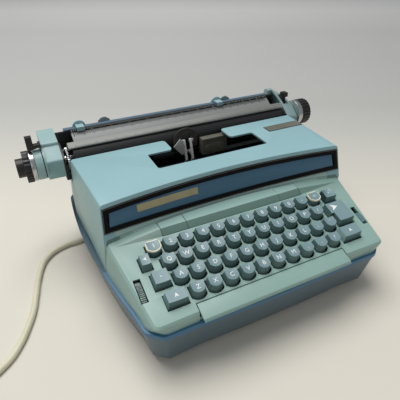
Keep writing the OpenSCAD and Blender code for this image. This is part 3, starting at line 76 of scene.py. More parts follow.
def wall(x, u, out):
    """A point u up the leaning front wall of the cover, standing out from its face."""
    r = WALL_R - out
    y = sqrt(r * r - x * x) - WALL_R
    return at(x, WALL_Y + y * cos(LEAN) + u * sin(LEAN), WALL_Z - y * sin(LEAN) + u * cos(LEAN))


# Camera
camera = bpy.data.objects.new("camera", bpy.data.cameras.new("camera"))
scene.collection.objects.link(camera)
camera.location = (-0.19898, -0.36307, 0.36540)
camera.rotation_euler = (radians(56.01), 0, radians(-26.28))
camera.data.lens = 35.486
camera.data.sensor_width = 36
camera.data.clip_start = 0.01
scene.camera = camera


# Materials
def lin(code):
    """#rrggbb as drawn to a linear colour."""
    out = []
    for i in (1, 3, 5):
        c = int(code[i:i + 2], 16) / 255
        out.append(c / 12.92 if c <= 0.04045 else ((c + 0.055) / 1.055) ** 2.4)
    return (*out, 1.0)


def shade(c, k):
    return (c[0] * k, c[1] * k, c[2] * k, 1.0)


class Mat:
    """A principled material whose colour, roughness and bump vary over the surface."""

    def __init__(self, name, code, rough=0.45, metal=0.0, coat=0.0, spec=0.5):
        self.m = bpy.data.materials.new(name)
        self.m.use_nodes = True
        self.t = self.m.node_tree
        self.b = self.t.nodes["Principled BSDF"]
        self.c = lin(code)
        self.b.inputs["Base Color"].default_value = self.c
        self.b.inputs["Roughness"].default_value = rough
        self.b.inputs["Metallic"].default_value = metal
        self.b.inputs["Coat Weight"].default_value = coat
        self.b.inputs["Coat Roughness"].default_value = 0.12
        self.b.inputs["Specular IOR Level"].default_value = spec
        self.rough = rough
        self.co = self.n("ShaderNodeTexCoord").outputs["Object"]
        self.m.diffuse_color = self.c

    def n(self, kind, **values):
        node = self.t.nodes.new(kind)
        for k, v in values.items():
            if k in node.inputs:
                node.inputs[k].default_value = v
            else:
                setattr(node, k, v)
        return node

    def link(self, a, b):
        self.t.links.new(a, b)

    def noise(self, scale, detail=3.0, rough=0.5, stretch=None):
        tex = self.n("ShaderNodeTexNoise", Scale=scale, Detail=detail, Roughness=rough)
        src = self.co
        if stretch:
            mp = self.n("ShaderNodeMapping")
            mp.inputs["Scale"].default_value = stretch
            self.link(src, mp.inputs["Vector"])
            src = mp.outputs["Vector"]
        self.link(src, tex.inputs["Vector"])
        return tex.outputs["Fac"]

    def ramp(self, fac, stops):
        r = self.n("ShaderNodeValToRGB")
        while len(r.color_ramp.elements) < len(stops):
            r.color_ramp.elements.new(0.5)
        for e, (p, c) in zip(r.color_ramp.elements, stops):
            e.position, e.color = p, c
        self.link(fac, r.inputs["Fac"])
        return r.outputs["Color"]

    def vary(self, scale=9, amount=0.06, stretch=None):
        """Slow drift of the colour, as in an old moulding."""
        f = self.noise(scale, 4, 0.6, stretch)
        col = self.ramp(f, [(0.3, shade(self.c, 1 - amount)), (0.7, shade(self.c, 1 + amount))])
        self.link(col, self.b.inputs["Base Color"])
        self.col = col
        return self

    def specks(self, code, scale=900, low=0.68, high=0.74):
        """Small spots of wear or dust over what colour there is."""
        f = self.noise(scale, 2, 0.5)
        mask = self.ramp(f, [(low, (0, 0, 0, 1)), (high, (1, 1, 1, 1))])
        mix = self.n("ShaderNodeMix", data_type="RGBA")
        self.link(mask, mix.inputs[0])
        self.link(self.col, mix.inputs[6])
        mix.inputs[7].default_value = lin(code)
        self.link(mix.outputs[2], self.b.inputs["Base Color"])
        self.col = mix.outputs[2]
        return self

    def matt(self, scale=14, amount=0.08):
        """Patches rubbed smoother and duller."""
        f = self.noise(scale, 5, 0.6)
        mr = self.n("ShaderNodeMapRange")
        mr.inputs["To Min"].default_value = max(0.02, self.rough - amount)
        mr.inputs["To Max"].default_value = min(1.0, self.rough + amount)
        self.link(f, mr.inputs["Value"])
        self.link(mr.outputs["Result"], self.b.inputs["Roughness"])
        return self

    def grain(self, scale=1800, strength=0.12, depth=0.0001, stretch=None, detail=2.0):
        """Fine relief: moulded texture, brushing or rubber."""
        f = self.noise(scale, detail, 0.55, stretch)
        bump = self.n("ShaderNodeBump", Strength=strength, Distance=depth)
        self.link(f, bump.inputs["Height"])
        self.link(bump.outputs["Normal"], self.b.inputs["Normal"])
        return self


def moulded(name, code, rough=0.42, grain=0.18, coat=0.0, dirt=None):
    m = Mat(name, code, rough, 0, coat).vary(7, 0.05).matt(12, 0.07).grain(1500, grain, 0.00012)
    if dirt:
        m.specks(dirt, 420, 0.70, 0.80)
    return m.m


def metal(name, code, rough=0.28, along=(4, 900, 900), bump=0.15):
    return Mat(name, code, rough, 1.0).vary(30, 0.08).matt(40, 0.08).grain(1, bump, 0.00005, along).m


M = {
    # The pan's grey-blue, made a little darker as painted shade of its undercut front
    "pan_face": moulded("pan_face", "#53666f", 0.42, 0.25, 0.04),
    "pan_bead": moulded("pan_bead", "#3a6c8c", 0.46, 0.12),
    # A darker blue for the bead and upper sides beside the cover: painted shade
    "pan_side_painted_shade": moulded("pan_side_painted_shade", "#35505f", 0.46, 0.12),
    "foot": Mat("foot_rubber", "#151515", 0.8).vary(40, 0.2).grain(900, 0.4, 0.0002).m,
    "deck": moulded("deck_green", "#8aa9a2", 0.40, 0.22, 0.05, "#809f98"),
    "case": moulded("case_blue", "#94b2b4", 0.38, 0.16, 0.08),
    "cover": moulded("cover_blue", "#8ab1b8", 0.42, 0.14, 0.06, "#84aab1"),
    # Near-black for inner faces and the collar groove: painted shade
    "inside": Mat("inside_painted_shade", "#0b0c0c", 0.7).vary(20, 0.2).matt(20, 0.1).m,
    # A darker copy of the key colour for the key sides: painted shade; the tops keep the key's own colour
    "key": moulded("key_side_painted_shade", "#5b7574", 0.45, 0.10),
    "keytop": moulded("key_top", "#748f95", 0.40, 0.10, 0.04),
    "legend": Mat("legend_white", "#e9eee9", 0.5).vary(60, 0.05).m,
    "ring": moulded("ring_ivory", "#ddd9c2", 0.4, 0.08),
    "black": Mat("frame_black", "#050506", 0.55, spec=0.15).vary(25, 0.2).matt(15, 0.08).grain(900, 0.06).m,
    # The frame's chrome edge as a flat grey line: painted reflection
    "trim": Mat("trim_painted_reflection", "#77716d", 0.45).vary(40, 0.1).m,
    "insert": Mat("insert_blue", "#3a647e", 0.38, 0.1, 0.06).vary(5, 0.1, (1, 6, 6))
    .matt(12, 0.06).grain(1, 0.25, 0.00005, (30, 1600, 1600)).m,
    "badge": Mat("badge_beige", "#a39a78", 0.46, 0.1).vary(50, 0.10).matt(30, 0.1)
    .grain(1, 0.2, 0.00005, (60, 1800, 1800)).m,
    "label": Mat("label_grey", "#6a6b60", 0.44, 0.3).vary(40, 0.12).matt(30, 0.1)
    .grain(1, 0.25, 0.00005, (60, 1800, 1800)).m,
    "chrome": metal("chrome", "#b9bcbc", 0.25, (60, 60, 60), 0.02),
    "guide": Mat("guide_silver", "#c9cbc9", 0.35, 0.2).vary(40, 0.06).matt(40, 0.08).m,
    "steel": metal("frame_steel", "#8b8f92", 0.34),
    "typesteel": Mat("type_steel", "#4d4b48", 0.42, 0.6).vary(60, 0.2).matt(40, 0.1).m,
    # A near-black sheet behind the rear slots: painted shade
    "painted_shade_sheet": Mat("dark_sheet_painted_shade", "#101112", 0.95, spec=0.1).vary(60, 0.3).grain(1400, 0.6, 0.0004).m,
    "motor": metal("motor_grey", "#5c6064", 0.42),
    "belt": Mat("belt_rubber", "#141414", 0.75).vary(40, 0.2).grain(1200, 0.3).m,
    "dark": Mat("carriage_black", "#121314", 0.45, 0.1).vary(25, 0.25).matt(20, 0.12)
    .grain(700, 0.15, 0.0001).m,
    "platen": Mat("platen_rubber", "#1b1c1d", 0.52).vary(18, 0.25, (0.4, 6, 6)).matt(16, 0.1)
    .grain(900, 0.2, 0.0001).m,
    "knob": Mat("knob_black", "#08080a", 0.42).vary(40, 0.25).matt(25, 0.1).grain(1200, 0.1).m,
    "table": Mat("table_grey", "#848887", 0.5, 0.1).vary(14, 0.07, (0.5, 4, 4)).matt(20, 0.08)
    .grain(1, 0.2, 0.00005, (20, 1500, 1500)).m,
    "bail": Mat("bail_grey", "#797c79", 0.5, 0.15).vary(14, 0.07, (0.5, 4, 4)).matt(20, 0.08)
    .grain(1, 0.2, 0.00005, (20, 1500, 1500)).m,
    "scaleblack": Mat("scale_black", "#0d0d0d", 0.5).vary(20, 0.2).matt(20, 0.1).m,
    "scaleblue": moulded("scale_blue", "#446073", 0.42, 0.12),
    "stop": moulded("stop_blue", "#8fb0b6", 0.4, 0.1),
    "lug": moulded("lug_grey", "#7d8f90", 0.42, 0.12),
    "ribboncase": Mat("cartridge_olive", "#5e5e54", 0.42, 0, 0.1).vary(30, 0.15).matt(20, 0.1).m,
    "card": Mat("card_holder_grey", "#4a4641", 0.38, 0.1).vary(30, 0.15).matt(20, 0.1).m,
    "tab": moulded("tab_grey", "#93b3ad", 0.40, 0.2, 0.05),
    # A darker copy of the deck colour for the front of the ledge and of the tab pieces: painted shade
    "ledge_front": moulded("ledge_front", "#617e76", 0.42, 0.2, 0.03),
    # A lighter copy of the cover colour for the strip under the front frame and the lip under the cover:
    # painted light
    "strip": moulded("wall_strip_painted_light", "#a3bdb8", 0.40, 0.16, 0.04),
    "switch": moulded("switch_blue", "#6b8a90", 0.4, 0.1),
    # A darker copy of the cover colour for the cover's sides and the deck it hides: painted shade
    "cover_painted_shade": moulded("cover_side_painted_shade", "#88a7a6", 0.42, 0.14, 0.04),
    # The end caps are one plastic: the left a lighter copy, painted light, the right a darker copy, painted
    # shade
    "cap_left": moulded("cap_left", "#8fafb0", 0.40, 0.16, 0.05),
    "cap_right": moulded("cap_right", "#8aa5a7", 0.40, 0.16, 0.06),
    "cord": Mat("cord_ivory", "#d3cfb6", 0.48).vary(22, 0.08).matt(20, 0.08).grain(700, 0.12, 0.0001).m,
    "tick_dark": Mat("tick_dark", "#171717", 0.5).vary(60, 0.1).m,
    "wheel": Mat("wheel_grey", "#7c8c8a", 0.5, 0.2).vary(400, 0.5).matt(60, 0.1).m,
}
LOOK = {
    "rubber_feet": "foot", "chassis_frame": "steel", "keyboard_housing": "deck", "rear_housing": "case",
    "motor": "motor", "drive_belt": "belt", "power_roller": "steel", "motor_pulley": "steel",
    "type_guide": "guide", "card_holder": "card", "plug": "cord", "top_cover": "cover",
    "front_frame": "black", "frame_insert": "insert", "carriage_frame": "dark",
    "left_end_cover": "cap_left", "right_end_cover": "cap_right", "paper_table": "table",
    "margin_scale": "scaleblack", "scale_cover": "scaleblue", "feed_rollers": "platen",
    "platen": "platen", "platen_shaft": "chrome", "left_knob": "knob", "right_knob": "knob",
    "paper_bail": "bail", "carriage_release_lever": "knob", "paper_release_lever": "knob",
    "margin_stop_left": "stop", "margin_stop_right": "stop", "ribbon_cartridge": "ribboncase",
    "type_segment": "steel", "type_bars": "typesteel", "center_type_bar": "typesteel",
    "number_row_keys": "key", "number_row_levers": "steel", "key_rings": "ring",
    "upper_row_keys": "key", "upper_row_levers": "steel", "home_row_keys": "key",
    "home_row_levers": "steel", "lower_row_keys": "key", "lower_row_levers": "steel",
    "letter_key": "key", "backspace_key": "key", "shift_lock_key": "key", "shift_keys": "key",
    "margin_release_key": "key", "return_key": "key", "space_bar": "deck", "tab_bar": "tab",
    "tab_clear_button": "tab", "tab_set_button": "tab", "impression_wheel": "wheel",
    "power_switch": "switch", "base_pan": "pan_face", "cord_gland": "cord", "power_cord": "cord",
    "cord_coil": "cord",
}
# Width of the rounded edges in millimetres; the other nodes keep the CAD's mesh or get a piece further on
ROUND = {
    "rubber_feet": 1.2, "keyboard_housing": 0.6, "rear_housing": 1.2, "type_guide": 0.25,
    "card_holder": 0.3, "plug": 1.0, "top_cover": 0.9, "frame_insert": 0.2,
    "left_end_cover": 1.4, "right_end_cover": 1.6, "paper_table": 0.3, "scale_cover": 0.5,
    "platen": 0.8, "platen_shaft": 0.4, "left_knob": 0.35, "right_knob": 0.35, "paper_bail": 0.3,
    "carriage_release_lever": 0.6, "paper_release_lever": 0.9, "margin_stop_left": 0.35,
    "margin_stop_right": 0.35, "ribbon_cartridge": 0.8, "center_type_bar": 0.15, "type_bars": 0.15,
    "number_row_keys": 1.4, "key_rings": 0.3, "upper_row_keys": 1.4, "home_row_keys": 1.4,
    "lower_row_keys": 1.4, "letter_key": 1.4, "backspace_key": 1.2, "shift_lock_key": 1.2,
    "shift_keys": 1.2, "margin_release_key": 1.2, "return_key": 1.2, "space_bar": 0.5,
    "tab_bar": 0.8, "tab_clear_button": 0.8, "tab_set_button": 0.8, "power_switch": 0.3,
    "base_pan": 1.0, "carriage_frame": 0.3,
}
# Least angle in degrees of an edge that stays crisp, in general and for some nodes
CRISP = 23
CREASE = {"keyboard_housing": 11, "tab_bar": 11, "tab_clear_button": 11, "tab_set_button": 11}
DECK_UP = Vector((0, -sin(SLOPE), cos(SLOPE)))
# Radius in millimetres of the upright corners of the keys
CORNER = {"number_row_keys": 2.8, "key_rings": 3.4, "upper_row_keys": 2.8, "home_row_keys": 2.8,
          "lower_row_keys": 2.8, "letter_key": 2.8, "backspace_key": 1.2, "shift_lock_key": 1.2,
          "shift_keys": 1.2, "margin_release_key": 1.2, "return_key": 1.2}

# How far in millimetres the upright front corners of the case are rounded; they lie before this y in metres
CASE = {"base_pan": 11, "keyboard_housing": 11}
CASE_FRONT = -0.113
# Least and most turn in radians of the upright edges that are rounded so, and of all others in degrees
KEY_TURN, CASE_TURN, EDGE_TURN = (0.8, pi), (0.3, 1.3), 26
KEY_STEPS, CASE_STEPS, EDGE_STEPS = 5, 8, 4
# Distance in metres below which points are one, and angle in degrees below which faces are one
WELD, FLAT = 2e-5, 0.8


# Building pieces
def piece(name, me, body, slot, mats, smooth=None):
    """One named piece on its body; smooth is the least angle in degrees of an edge that stays crisp."""
    for m in mats:
        me.materials.append(m)
    if smooth is not None:
        me.shade_smooth()
        me.set_sharp_from_angle(angle=radians(smooth))
    ob = bpy.data.objects.new(name, me)
    scene.collection.objects.link(ob)
    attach(ob, body)
    return ob


def raw(name, verts, faces, body, slot, mat, smooth=None):
    """A piece from its points and faces."""
    me = bpy.data.meshes.new(name)
    me.from_pydata([tuple(v) for v in verts], [], faces)
    me.validate()
    me.update()
    return piece(name, me, body, slot, [mat], smooth)


def evaluated(ob):
    """A mesh of an object with its modifiers applied."""
    dg = bpy.context.evaluated_depsgraph_get()
    dg.update()
    return bpy.data.meshes.new_from_object(ob.evaluated_get(dg))


def way_of(e):
    """The way an edge runs, as a vector of length 1."""
    return (e.verts[1].co - e.verts[0].co).normalized()


def stands_out(e, least, most):
    """Whether the two faces of an edge turn outwards by an angle between the two, in radians."""
    return len(e.link_faces) == 2 and e.is_convex and least < e.calc_face_angle(0) < most


def bevel_edges(bm, edges, offset, segments):
    """Rounds the edges by an offset in millimetres."""
    bmesh.ops.bevel(bm, geom=edges, offset=offset / 1000, segments=segments, affect="EDGES", profile=0.5,
                    clamp_overlap=True)


def dress(node, width):
    """A copy of a CAD node with its edges rounded, standing for the node."""
    bm = bmesh.new()
    bm.from_mesh(NODES[node].data)
    bmesh.ops.remove_doubles(bm, verts=bm.verts, dist=WELD)
    bmesh.ops.dissolve_limit(bm, angle_limit=radians(FLAT), verts=bm.verts, edges=bm.edges)
    if node in CORNER:
        upright = [e for e in bm.edges if stands_out(e, *KEY_TURN) and abs(way_of(e).dot(DECK_UP)) > 0.97]
        bevel_edges(bm, upright, CORNER[node], KEY_STEPS)
    if node in CASE:
        upright = [e for e in bm.edges if stands_out(e, *CASE_TURN) and abs(way_of(e).z) > 0.6
                   and max(v.co.y for v in e.verts) < CASE_FRONT]
        bevel_edges(bm, upright, CASE[node], CASE_STEPS)
    me = bpy.data.meshes.new("raw_" + node)
    bm.to_mesh(me)
    bm.free()
    tmp = bpy.data.objects.new("raw_" + node, me)
    scene.collection.objects.link(tmp)
    b = tmp.modifiers.new("round", "BEVEL")
    b.width = width / 1000
    b.segments = EDGE_STEPS
    b.limit_method = "ANGLE"
    b.angle_limit = radians(EDGE_TURN)
    b.use_clamp_overlap = True
    b.harden_normals = False
    out = evaluated(tmp)
    bpy.data.objects.remove(tmp)
    out.materials.clear()
    ob = piece("v_" + node, out, BODY[node], SLOT[node], [M[LOOK[node]]], CREASE.get(node, CRISP))
    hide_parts(node)
    return ob


for node, ob in NODES.items():
    ob.data.materials.clear()
    ob.data.materials.append(M[LOOK[node]])

dressed = {node: dress(node, width) for node, width in ROUND.items()}

# Forms that differ a little from the solids

# Each front chamfer's middle, the way out of it, and the bulge: half its length, its reach inwards and its
# height
BULGE_AT = (138.0, -68.0)
BULGE_OUT = (0.69, -0.72)
BULGE_SPAN, BULGE_DEPTH, BULGE_PUSH = 26.0, 25.0, 5.6
# Heights between which the bulge of the housing fades out
BULGE_FADE = (56, 72)


def bulge(node, fades):
    """Rounds the front corners outwards, in full or fading out towards the top."""
    low, high = BULGE_FADE
    for v in dressed[node].data.vertices:
        x, y, z = machine(v.co)
        side = 1 if x > 0 else -1
        dx, dy = x * side - BULGE_AT[0], y - BULGE_AT[1]
        across = dx * BULGE_OUT[1] - dy * BULGE_OUT[0]
        out = dx * BULGE_OUT[0] + dy * BULGE_OUT[1]
        if abs(across) < BULGE_SPAN and out > -BULGE_DEPTH:
            share = min(1.0, max(0.0, (high - z) / (high - low))) if fades else 1.0
            push = BULGE_PUSH * cos(pi / 2 * across / BULGE_SPAN) ** 2 * share / 1000
            v.co[0] += side * BULGE_OUT[0] * push
            v.co[1] += BULGE_OUT[1] * push


bulge("base_pan", fades=False)
bulge("keyboard_housing", fades=True)

# The front lip of the space bar is thinner and set back, so that it ends above the pan's bead; the last
# two values are metres
LIP_FOOT = DECK_Z + SPACE_FRONT * tan(SLOPE) - 4.5
LIP_BACK, LIP_FACE = SPACE_FRONT + 2.7, SPACE_FRONT + 1.5
LIP_RAISE, LIP_INSET = 0.0034, 0.0022
for v in dressed["space_bar"].data.vertices:
    _, y, z = machine(v.co)
    if y < LIP_BACK and z < LIP_FOOT:
        v.co[2] += LIP_RAISE
    if y < LIP_FACE:
        v.co[1] += LIP_INSET

# The thumb piece of the carriage release is stretched outwards, and lowered in metres, to a broad bar
THUMB_EDGE, THUMB_ROOT, THUMB_FOOT = -196.5, -197, 158
THUMB_WIDEN, THUMB_LOWER = 0.5, 0.0032
for v in dressed["carriage_release_lever"].data.vertices:
    x, _, z = machine(v.co)
    if x < THUMB_EDGE:
        v.co[0] += (x - THUMB_ROOT) * THUMB_WIDEN / 1000
        if z < THUMB_FOOT:
            v.co[2] -= THUMB_LOWER

# Faces with a material of their own, among them painted light and painted shade

# Height of the pan's rim, and where it starts to fall to the front and how steeply
RIM_Z, RIM_TURN, RIM_FALL = 62.4, 24, 0.079
# Depth of the bead under the rim, where it turns darker beside the cover (painted shade), and its depth and
# start there
BEAD, BEAD_DARK, SIDE_BEAD, SIDE_BEAD_Y = 5.15, 26, 5.4, 20
# The middle that the pan's walls stand round
PAN_MIDDLE = 70
# Least height of the key tops
KEY_TOP_Z = 60
# The cover's outside: half width at the foot in front and what it gains to the back, depth, height over
# the rim, and how far the sides lean in, in front and by how much less at the back
COVER_HALF, COVER_GAIN, COVER_FRONT, COVER_DEPTH = 160.9, 5.4, 24, 122
COVER_HEIGHT, COVER_LEAN, LEAN_LESS = 78.3, 7.0, 2.1
# Inside the cover, painted near-black as shade, are the faces this far in from there, under that height and
# behind that place, and those that look down from above the last height
COVER_SKIN, INSIDE_TOP, INSIDE_Y, ROOF_Z = 1.8, 137.5, 42, 100
# The strip under the front frame, in painted light: its upper edge in the middle, how slowly that rises to
# the sides, and the place that the strip lies before
STRIP_Z, STRIP_BOW, STRIP_Y = 103.9, 4000, 45
# Where the cover hides the deck in the middle, how slowly that line comes forward to the sides, and the
# place that the lip under the cover lies behind; the hidden deck takes the cover's painted shade, the lip
# painted light
COVERED_Y, COVERED_BOW, LIP_Y = 38.2, 1790, 30
# The ledge's front, in painted shade: where it lies, its half length, and its least slope in degrees
LEDGE_Y0, LEDGE_Y1, LEDGE_HALF, LEDGE_TILT = 13, 27, 149, 21
# The groove round the left collar, painted near-black as shade: its two sides, its middle and its reach
GROOVE_X0, GROOVE_X1, GROOVE_Y, GROOVE_Z, GROOVE_R = -190.9, -189.3, 166, 133, 19
# The two round lugs behind the scale: their places, how far back they start, and their radius
LUGS_X, LUG_Y, LUG_R = (-102, 82.7), 203.7, 8.3


def paint(node, names, rule):
    """More materials on a dressed node: the rule says 0 for its own material, 1 for the next and so on."""
    me = dressed[node].data
    for name in names:
        me.materials.append(M[name])
    for f in me.polygons:
        f.material_index = int(rule(*machine(f.center), f.normal))


def tilt(n):
    """How far a face leans from level towards the typist, in degrees."""
    return degrees(atan2(-n[1], n[2]))


def collar_groove(x, y, z, n):
    return GROOVE_X0 < x < GROOVE_X1 and hypot(y - GROOVE_Y, z - GROOVE_Z) < GROOVE_R


def pan_part(x, y, z, n):
    """Face 0, bead 1, inside 2 and the darker bead beside the cover 3; 2 and 3 are painted shade, and 0
    partly so.
    """
    rim = RIM_Z - max(0.0, RIM_TURN - y) * RIM_FALL
    inward = x * n[0] + (y - PAN_MIDDLE) * n[1] < 0 if abs(n[2]) < 0.7 else n[2] > 0
    if z > rim - BEAD and n[2] > -0.3 and not (inward and n[2] < 0.7):
        return 1 if y < BEAD_DARK else 3
    if inward:
        return 2
    return 3 if z > rim - SIDE_BEAD and y > SIDE_BEAD_Y else 0


def key_top(x, y, z, n):
    return n.dot(DECK_UP) > 0.8 and z > KEY_TOP_Z


def cover_part(x, y, z, n):
    """Outside 0, inside 1, side walls 2 and the strip under the front frame 3; 1 and 2 are painted shade, 3
    painted light.
    """
    back = (y - COVER_FRONT) / COVER_DEPTH
    half = COVER_HALF + COVER_GAIN * back - (z - RIM_Z) / COVER_HEIGHT * (COVER_LEAN - LEAN_LESS * back)
    if n[1] < -0.9 and z < STRIP_Z + x * x / STRIP_BOW and y < STRIP_Y:
        return 3
    if n[2] < -0.5 and z > ROOF_Z or (abs(x) < half - COVER_SKIN and z < INSIDE_TOP and y > INSIDE_Y):
        return 1
    return 2 if abs(n[0]) > 0.6 else 0


def housing_part(x, y, z, n):
    """Deck 0, inside 1, what the cover hides 2, the ledge's front 3 and the lip under the cover 4; 1 to 3
    are painted shade, 4 painted light.
    """
    if n[2] < -0.5:
        return 1
    if y > LIP_Y and n[1] < -0.8:
        return 4
    if y > COVERED_Y - x * x / COVERED_BOW:
        return 2
    return 3 if LEDGE_Y0 < y < LEDGE_Y1 and abs(x) < LEDGE_HALF and tilt(n) > LEDGE_TILT else 0


# Faces of the tab pieces that take the ledge front's painted shade
def ledge_front(x, y, z, n):
    return tilt(n) > LEDGE_TILT


def lug(x, y, z, n):
    return y > LUG_Y and min(abs(x - middle) for middle in LUGS_X) < LUG_R


# The gap round the left collar gets the near-black painted shade
paint("left_end_cover", ["inside"], collar_groove)
# The pan's inside and its bead beside the cover get painted shade
paint("base_pan", ["pan_bead", "inside", "pan_side_painted_shade"], pan_part)
# The key tops get the key's own colour; the sides keep the painted shade
for node in CORNER:
    if node != "key_rings":
        paint(node, ["keytop"], key_top)
# The cover's inside and sides get painted shade, its strip painted light
paint("top_cover", ["inside", "cover_painted_shade", "strip"], cover_part)
# The housing's inside, hidden deck and ledge front get painted shade, its lip painted light
paint("keyboard_housing", ["inside", "cover_painted_shade", "ledge_front", "strip"], housing_part)
# The fronts of the tab pieces get the painted shade too
for node in ("tab_bar", "tab_clear_button", "tab_set_button"):
    paint(node, ["ledge_front"], ledge_front)
paint("scale_cover", ["lug"], lug)

# Cord, in the machine's millimetres

CORD_R = 3.5
# Where it leaves the gland, and where the gland's sleeve starts inside the wall
EXIT_X, EXIT_Y, EXIT_Z = -90.0, 222.0, 40.0
SLEEVE_Y = 201
# The coil: its middle, its middle radius, its turns, their pitch, the upper layer's lift and where it starts
COIL_X, COIL_Y = -350.0, 12.0
COIL_MID, COIL_TURNS, COIL_PITCH, COIL_LIFT, COIL_START = 38.0, 5, 7.9, 7.4, -60.0
# The part of a turn that climbs to the upper layer, and how far it draws in
CLIMB_TURN, CLIMB_IN = 0.5, 1.2
COIL_OUT = COIL_MID + COIL_PITCH * (COIL_TURNS - CLIMB_TURN) / 4
# Turns in the lower layer
LAYER = (COIL_TURNS - CLIMB_TURN) / 2
# The tail to the plug: its part of a turn and how far it swings out
TAIL_TURN, TAIL_OUT = 0.25, 17
# Points in a stretch of the route and in a turn of the coil
ROUTE_STEPS, COIL_STEPS = 8, 48


def coil_radius(t):
    """The coil's radius after t turns: inwards below, then outwards above, then off to the plug."""
    if t < LAYER:
        return COIL_OUT - COIL_PITCH * t
    if t < LAYER + CLIMB_TURN:
        return COIL_OUT - COIL_PITCH * LAYER - CLIMB_IN * sin(2 * pi * (t - LAYER))
    if t < COIL_TURNS:
        return COIL_OUT - COIL_PITCH * (COIL_TURNS - t)
    return COIL_OUT + TAIL_OUT * ((t - COIL_TURNS) / TAIL_TURN) ** 2


def coil_at(t):
    """The point of the coil after t turns."""
    a = radians(COIL_START - 360 * t)
    climb = min(1, max(0, (t - LAYER) / CLIMB_TURN))
    return Vector((COIL_X + coil_radius(t) * cos(a), COIL_Y + coil_radius(t) * sin(a),
                   CORD_R + COIL_LIFT * climb))


def curve_point(a, b, c, d, t):
    """A point between b and c on the smooth curve that heads for a and d."""
    return 0.5 * (2 * b + (c - a) * t + (2 * a - 5 * b + 4 * c - d) * t * t
                  + (3 * b - a - 3 * c + d) * t ** 3)


start_dir = Vector((sin(radians(COIL_START)), -cos(radians(COIL_START)), 0))
last = coil_at(0) - 2 * CORD_R * start_dir
route = [(EXIT_X, EXIT_Y - 6, EXIT_Z), (EXIT_X, EXIT_Y + 2, EXIT_Z - 1), (-92, 232, 32), (-96, 238, 18),
         (-102, 240, 8), (-110, 235, CORD_R), (-120, 218, CORD_R), (-130, 196, CORD_R),
         (-143, 177, CORD_R), (-165, 166, CORD_R), (-186, 164.5, CORD_R), (-206, 157, CORD_R),
         (-221, 141, CORD_R), (-231, 115, CORD_R), (-237, 90, CORD_R), (-244, 61, CORD_R),
         (-252, 41, CORD_R), (-261.5, 22, CORD_R), (-272.5, 7, CORD_R), (-284, -2.5, CORD_R),
         (-301, -14.5, CORD_R), (last.x, last.y, CORD_R)]
route = [Vector(p) for p in route]
ends = [route[0] - Vector((0, 8, 0))] + route + [route[-1] + 14 * start_dir]
line = []
for i in range(1, len(route)):
    for k in range(ROUTE_STEPS):
        p = curve_point(*ends[i - 1:i + 3], k / ROUTE_STEPS)
        p.z = max(CORD_R, p.z)
        line.append(p)
line.append(route[-1])
end_turn = COIL_TURNS + TAIL_TURN
n_coil = round(end_turn * COIL_STEPS)
line += [coil_at(end_turn * i / n_coil) for i in range(n_coil + 1)]
out_dir = (coil_at(end_turn) - coil_at(end_turn - 0.01)).normalized()
line.append(coil_at(end_turn) + 2 * CORD_R * out_dir)
path = [at(*p) for p in line]
cu = bpy.data.curves.new("mains_cord", "CURVE")
cu.dimensions = "3D"
sp = cu.splines.new("POLY")
sp.points.add(len(path) - 1)
for q, p in zip(sp.points, path):
    q.co = (*p, 1)
cu.bevel_depth = CORD_R / 1000
cu.bevel_resolution = 5
cu.use_fill_caps = True
cu.materials.append(M["cord"])
cord = bpy.data.objects.new("mains_cord", cu)
scene.collection.objects.link(cord)
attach(cord, "machine")
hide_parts("power_cord", "cord_coil")


def lathe(profile, origin, axis, steps=40):
    """Verts and faces of a closed turned body; the profile is (along, radius) in millimetres."""
    ax = Vector(axis).normalized()
    side = ax.cross(Vector((0, 0, 1)) if abs(ax.z) < 0.9 else Vector((1, 0, 0))).normalized()
    up = side.cross(ax)
    verts, faces = [], []
    for a, r in profile:
        for k in range(steps):
            q = 2 * pi * k / steps
            verts.append(origin + (ax * a + side * (r * cos(q)) + up * (r * sin(q))) / 1000)
    for i in range(len(profile) - 1):
        for k in range(steps):
            p, q = i * steps + k, i * steps + (k + 1) % steps
            faces.append((p, q, q + steps, p + steps))
    faces.append(tuple(range(steps))[::-1])
    faces.append(tuple((len(profile) - 1) * steps + k for k in range(steps)))
    return verts, faces


# The strain relief: a sleeve through the wall, a collar and three ribs that taper to the cord
sleeve = [(0.0, 6.4), (10.4, 6.4), (10.5, 8.4), (11.6, 8.5)]
for i in range(3):
    a = 12.2 + i * 2.7
    r = 8.1 - 1.2 * (i + 0.2) * 0.9
    sleeve += [(a, r), (a + 0.5, r - 0.9), (a + 1.2, r - 0.9), (a + 1.7, r - 0.35)]
sleeve += [(20.6, 5.0), (21.0, 4.6)]
gland = raw("strain_relief", *lathe(sleeve, at(EXIT_X, SLEEVE_Y, EXIT_Z), (0, 1, 0)), "machine",
            "cord_ivory", M["cord"], 35)
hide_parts("cord_gland")

# Front frame, plates and trim

# The frame's lower and upper edge on the wall: half length, height in the middle, and the bow at the ends
LOW_HALF, LOW_U, LOW_BOW = 155.6, 5.2, 2
HIGH_HALF, HIGH_U, HIGH_BOW = 153.4, 37.4, -3
# Height of the cover's top, and the place of the dark sheet by the inner side of the rear wall
COVER_TOP, SHADE_SHEET_Y = 140.7, 205.6


def outline(m, n=40):
    """The frame's outline, drawn in by m, with n steps to each side."""
    low = [((LOW_HALF - m) * i / n, LOW_U + m + LOW_BOW * (i / n) ** 2) for i in range(-n, n + 1)]
    high = [((HIGH_HALF - m) * i / n, HIGH_U - m + HIGH_BOW * (i / n) ** 2)
            for i in range(n, -n - 1, -1)]
    return low + high


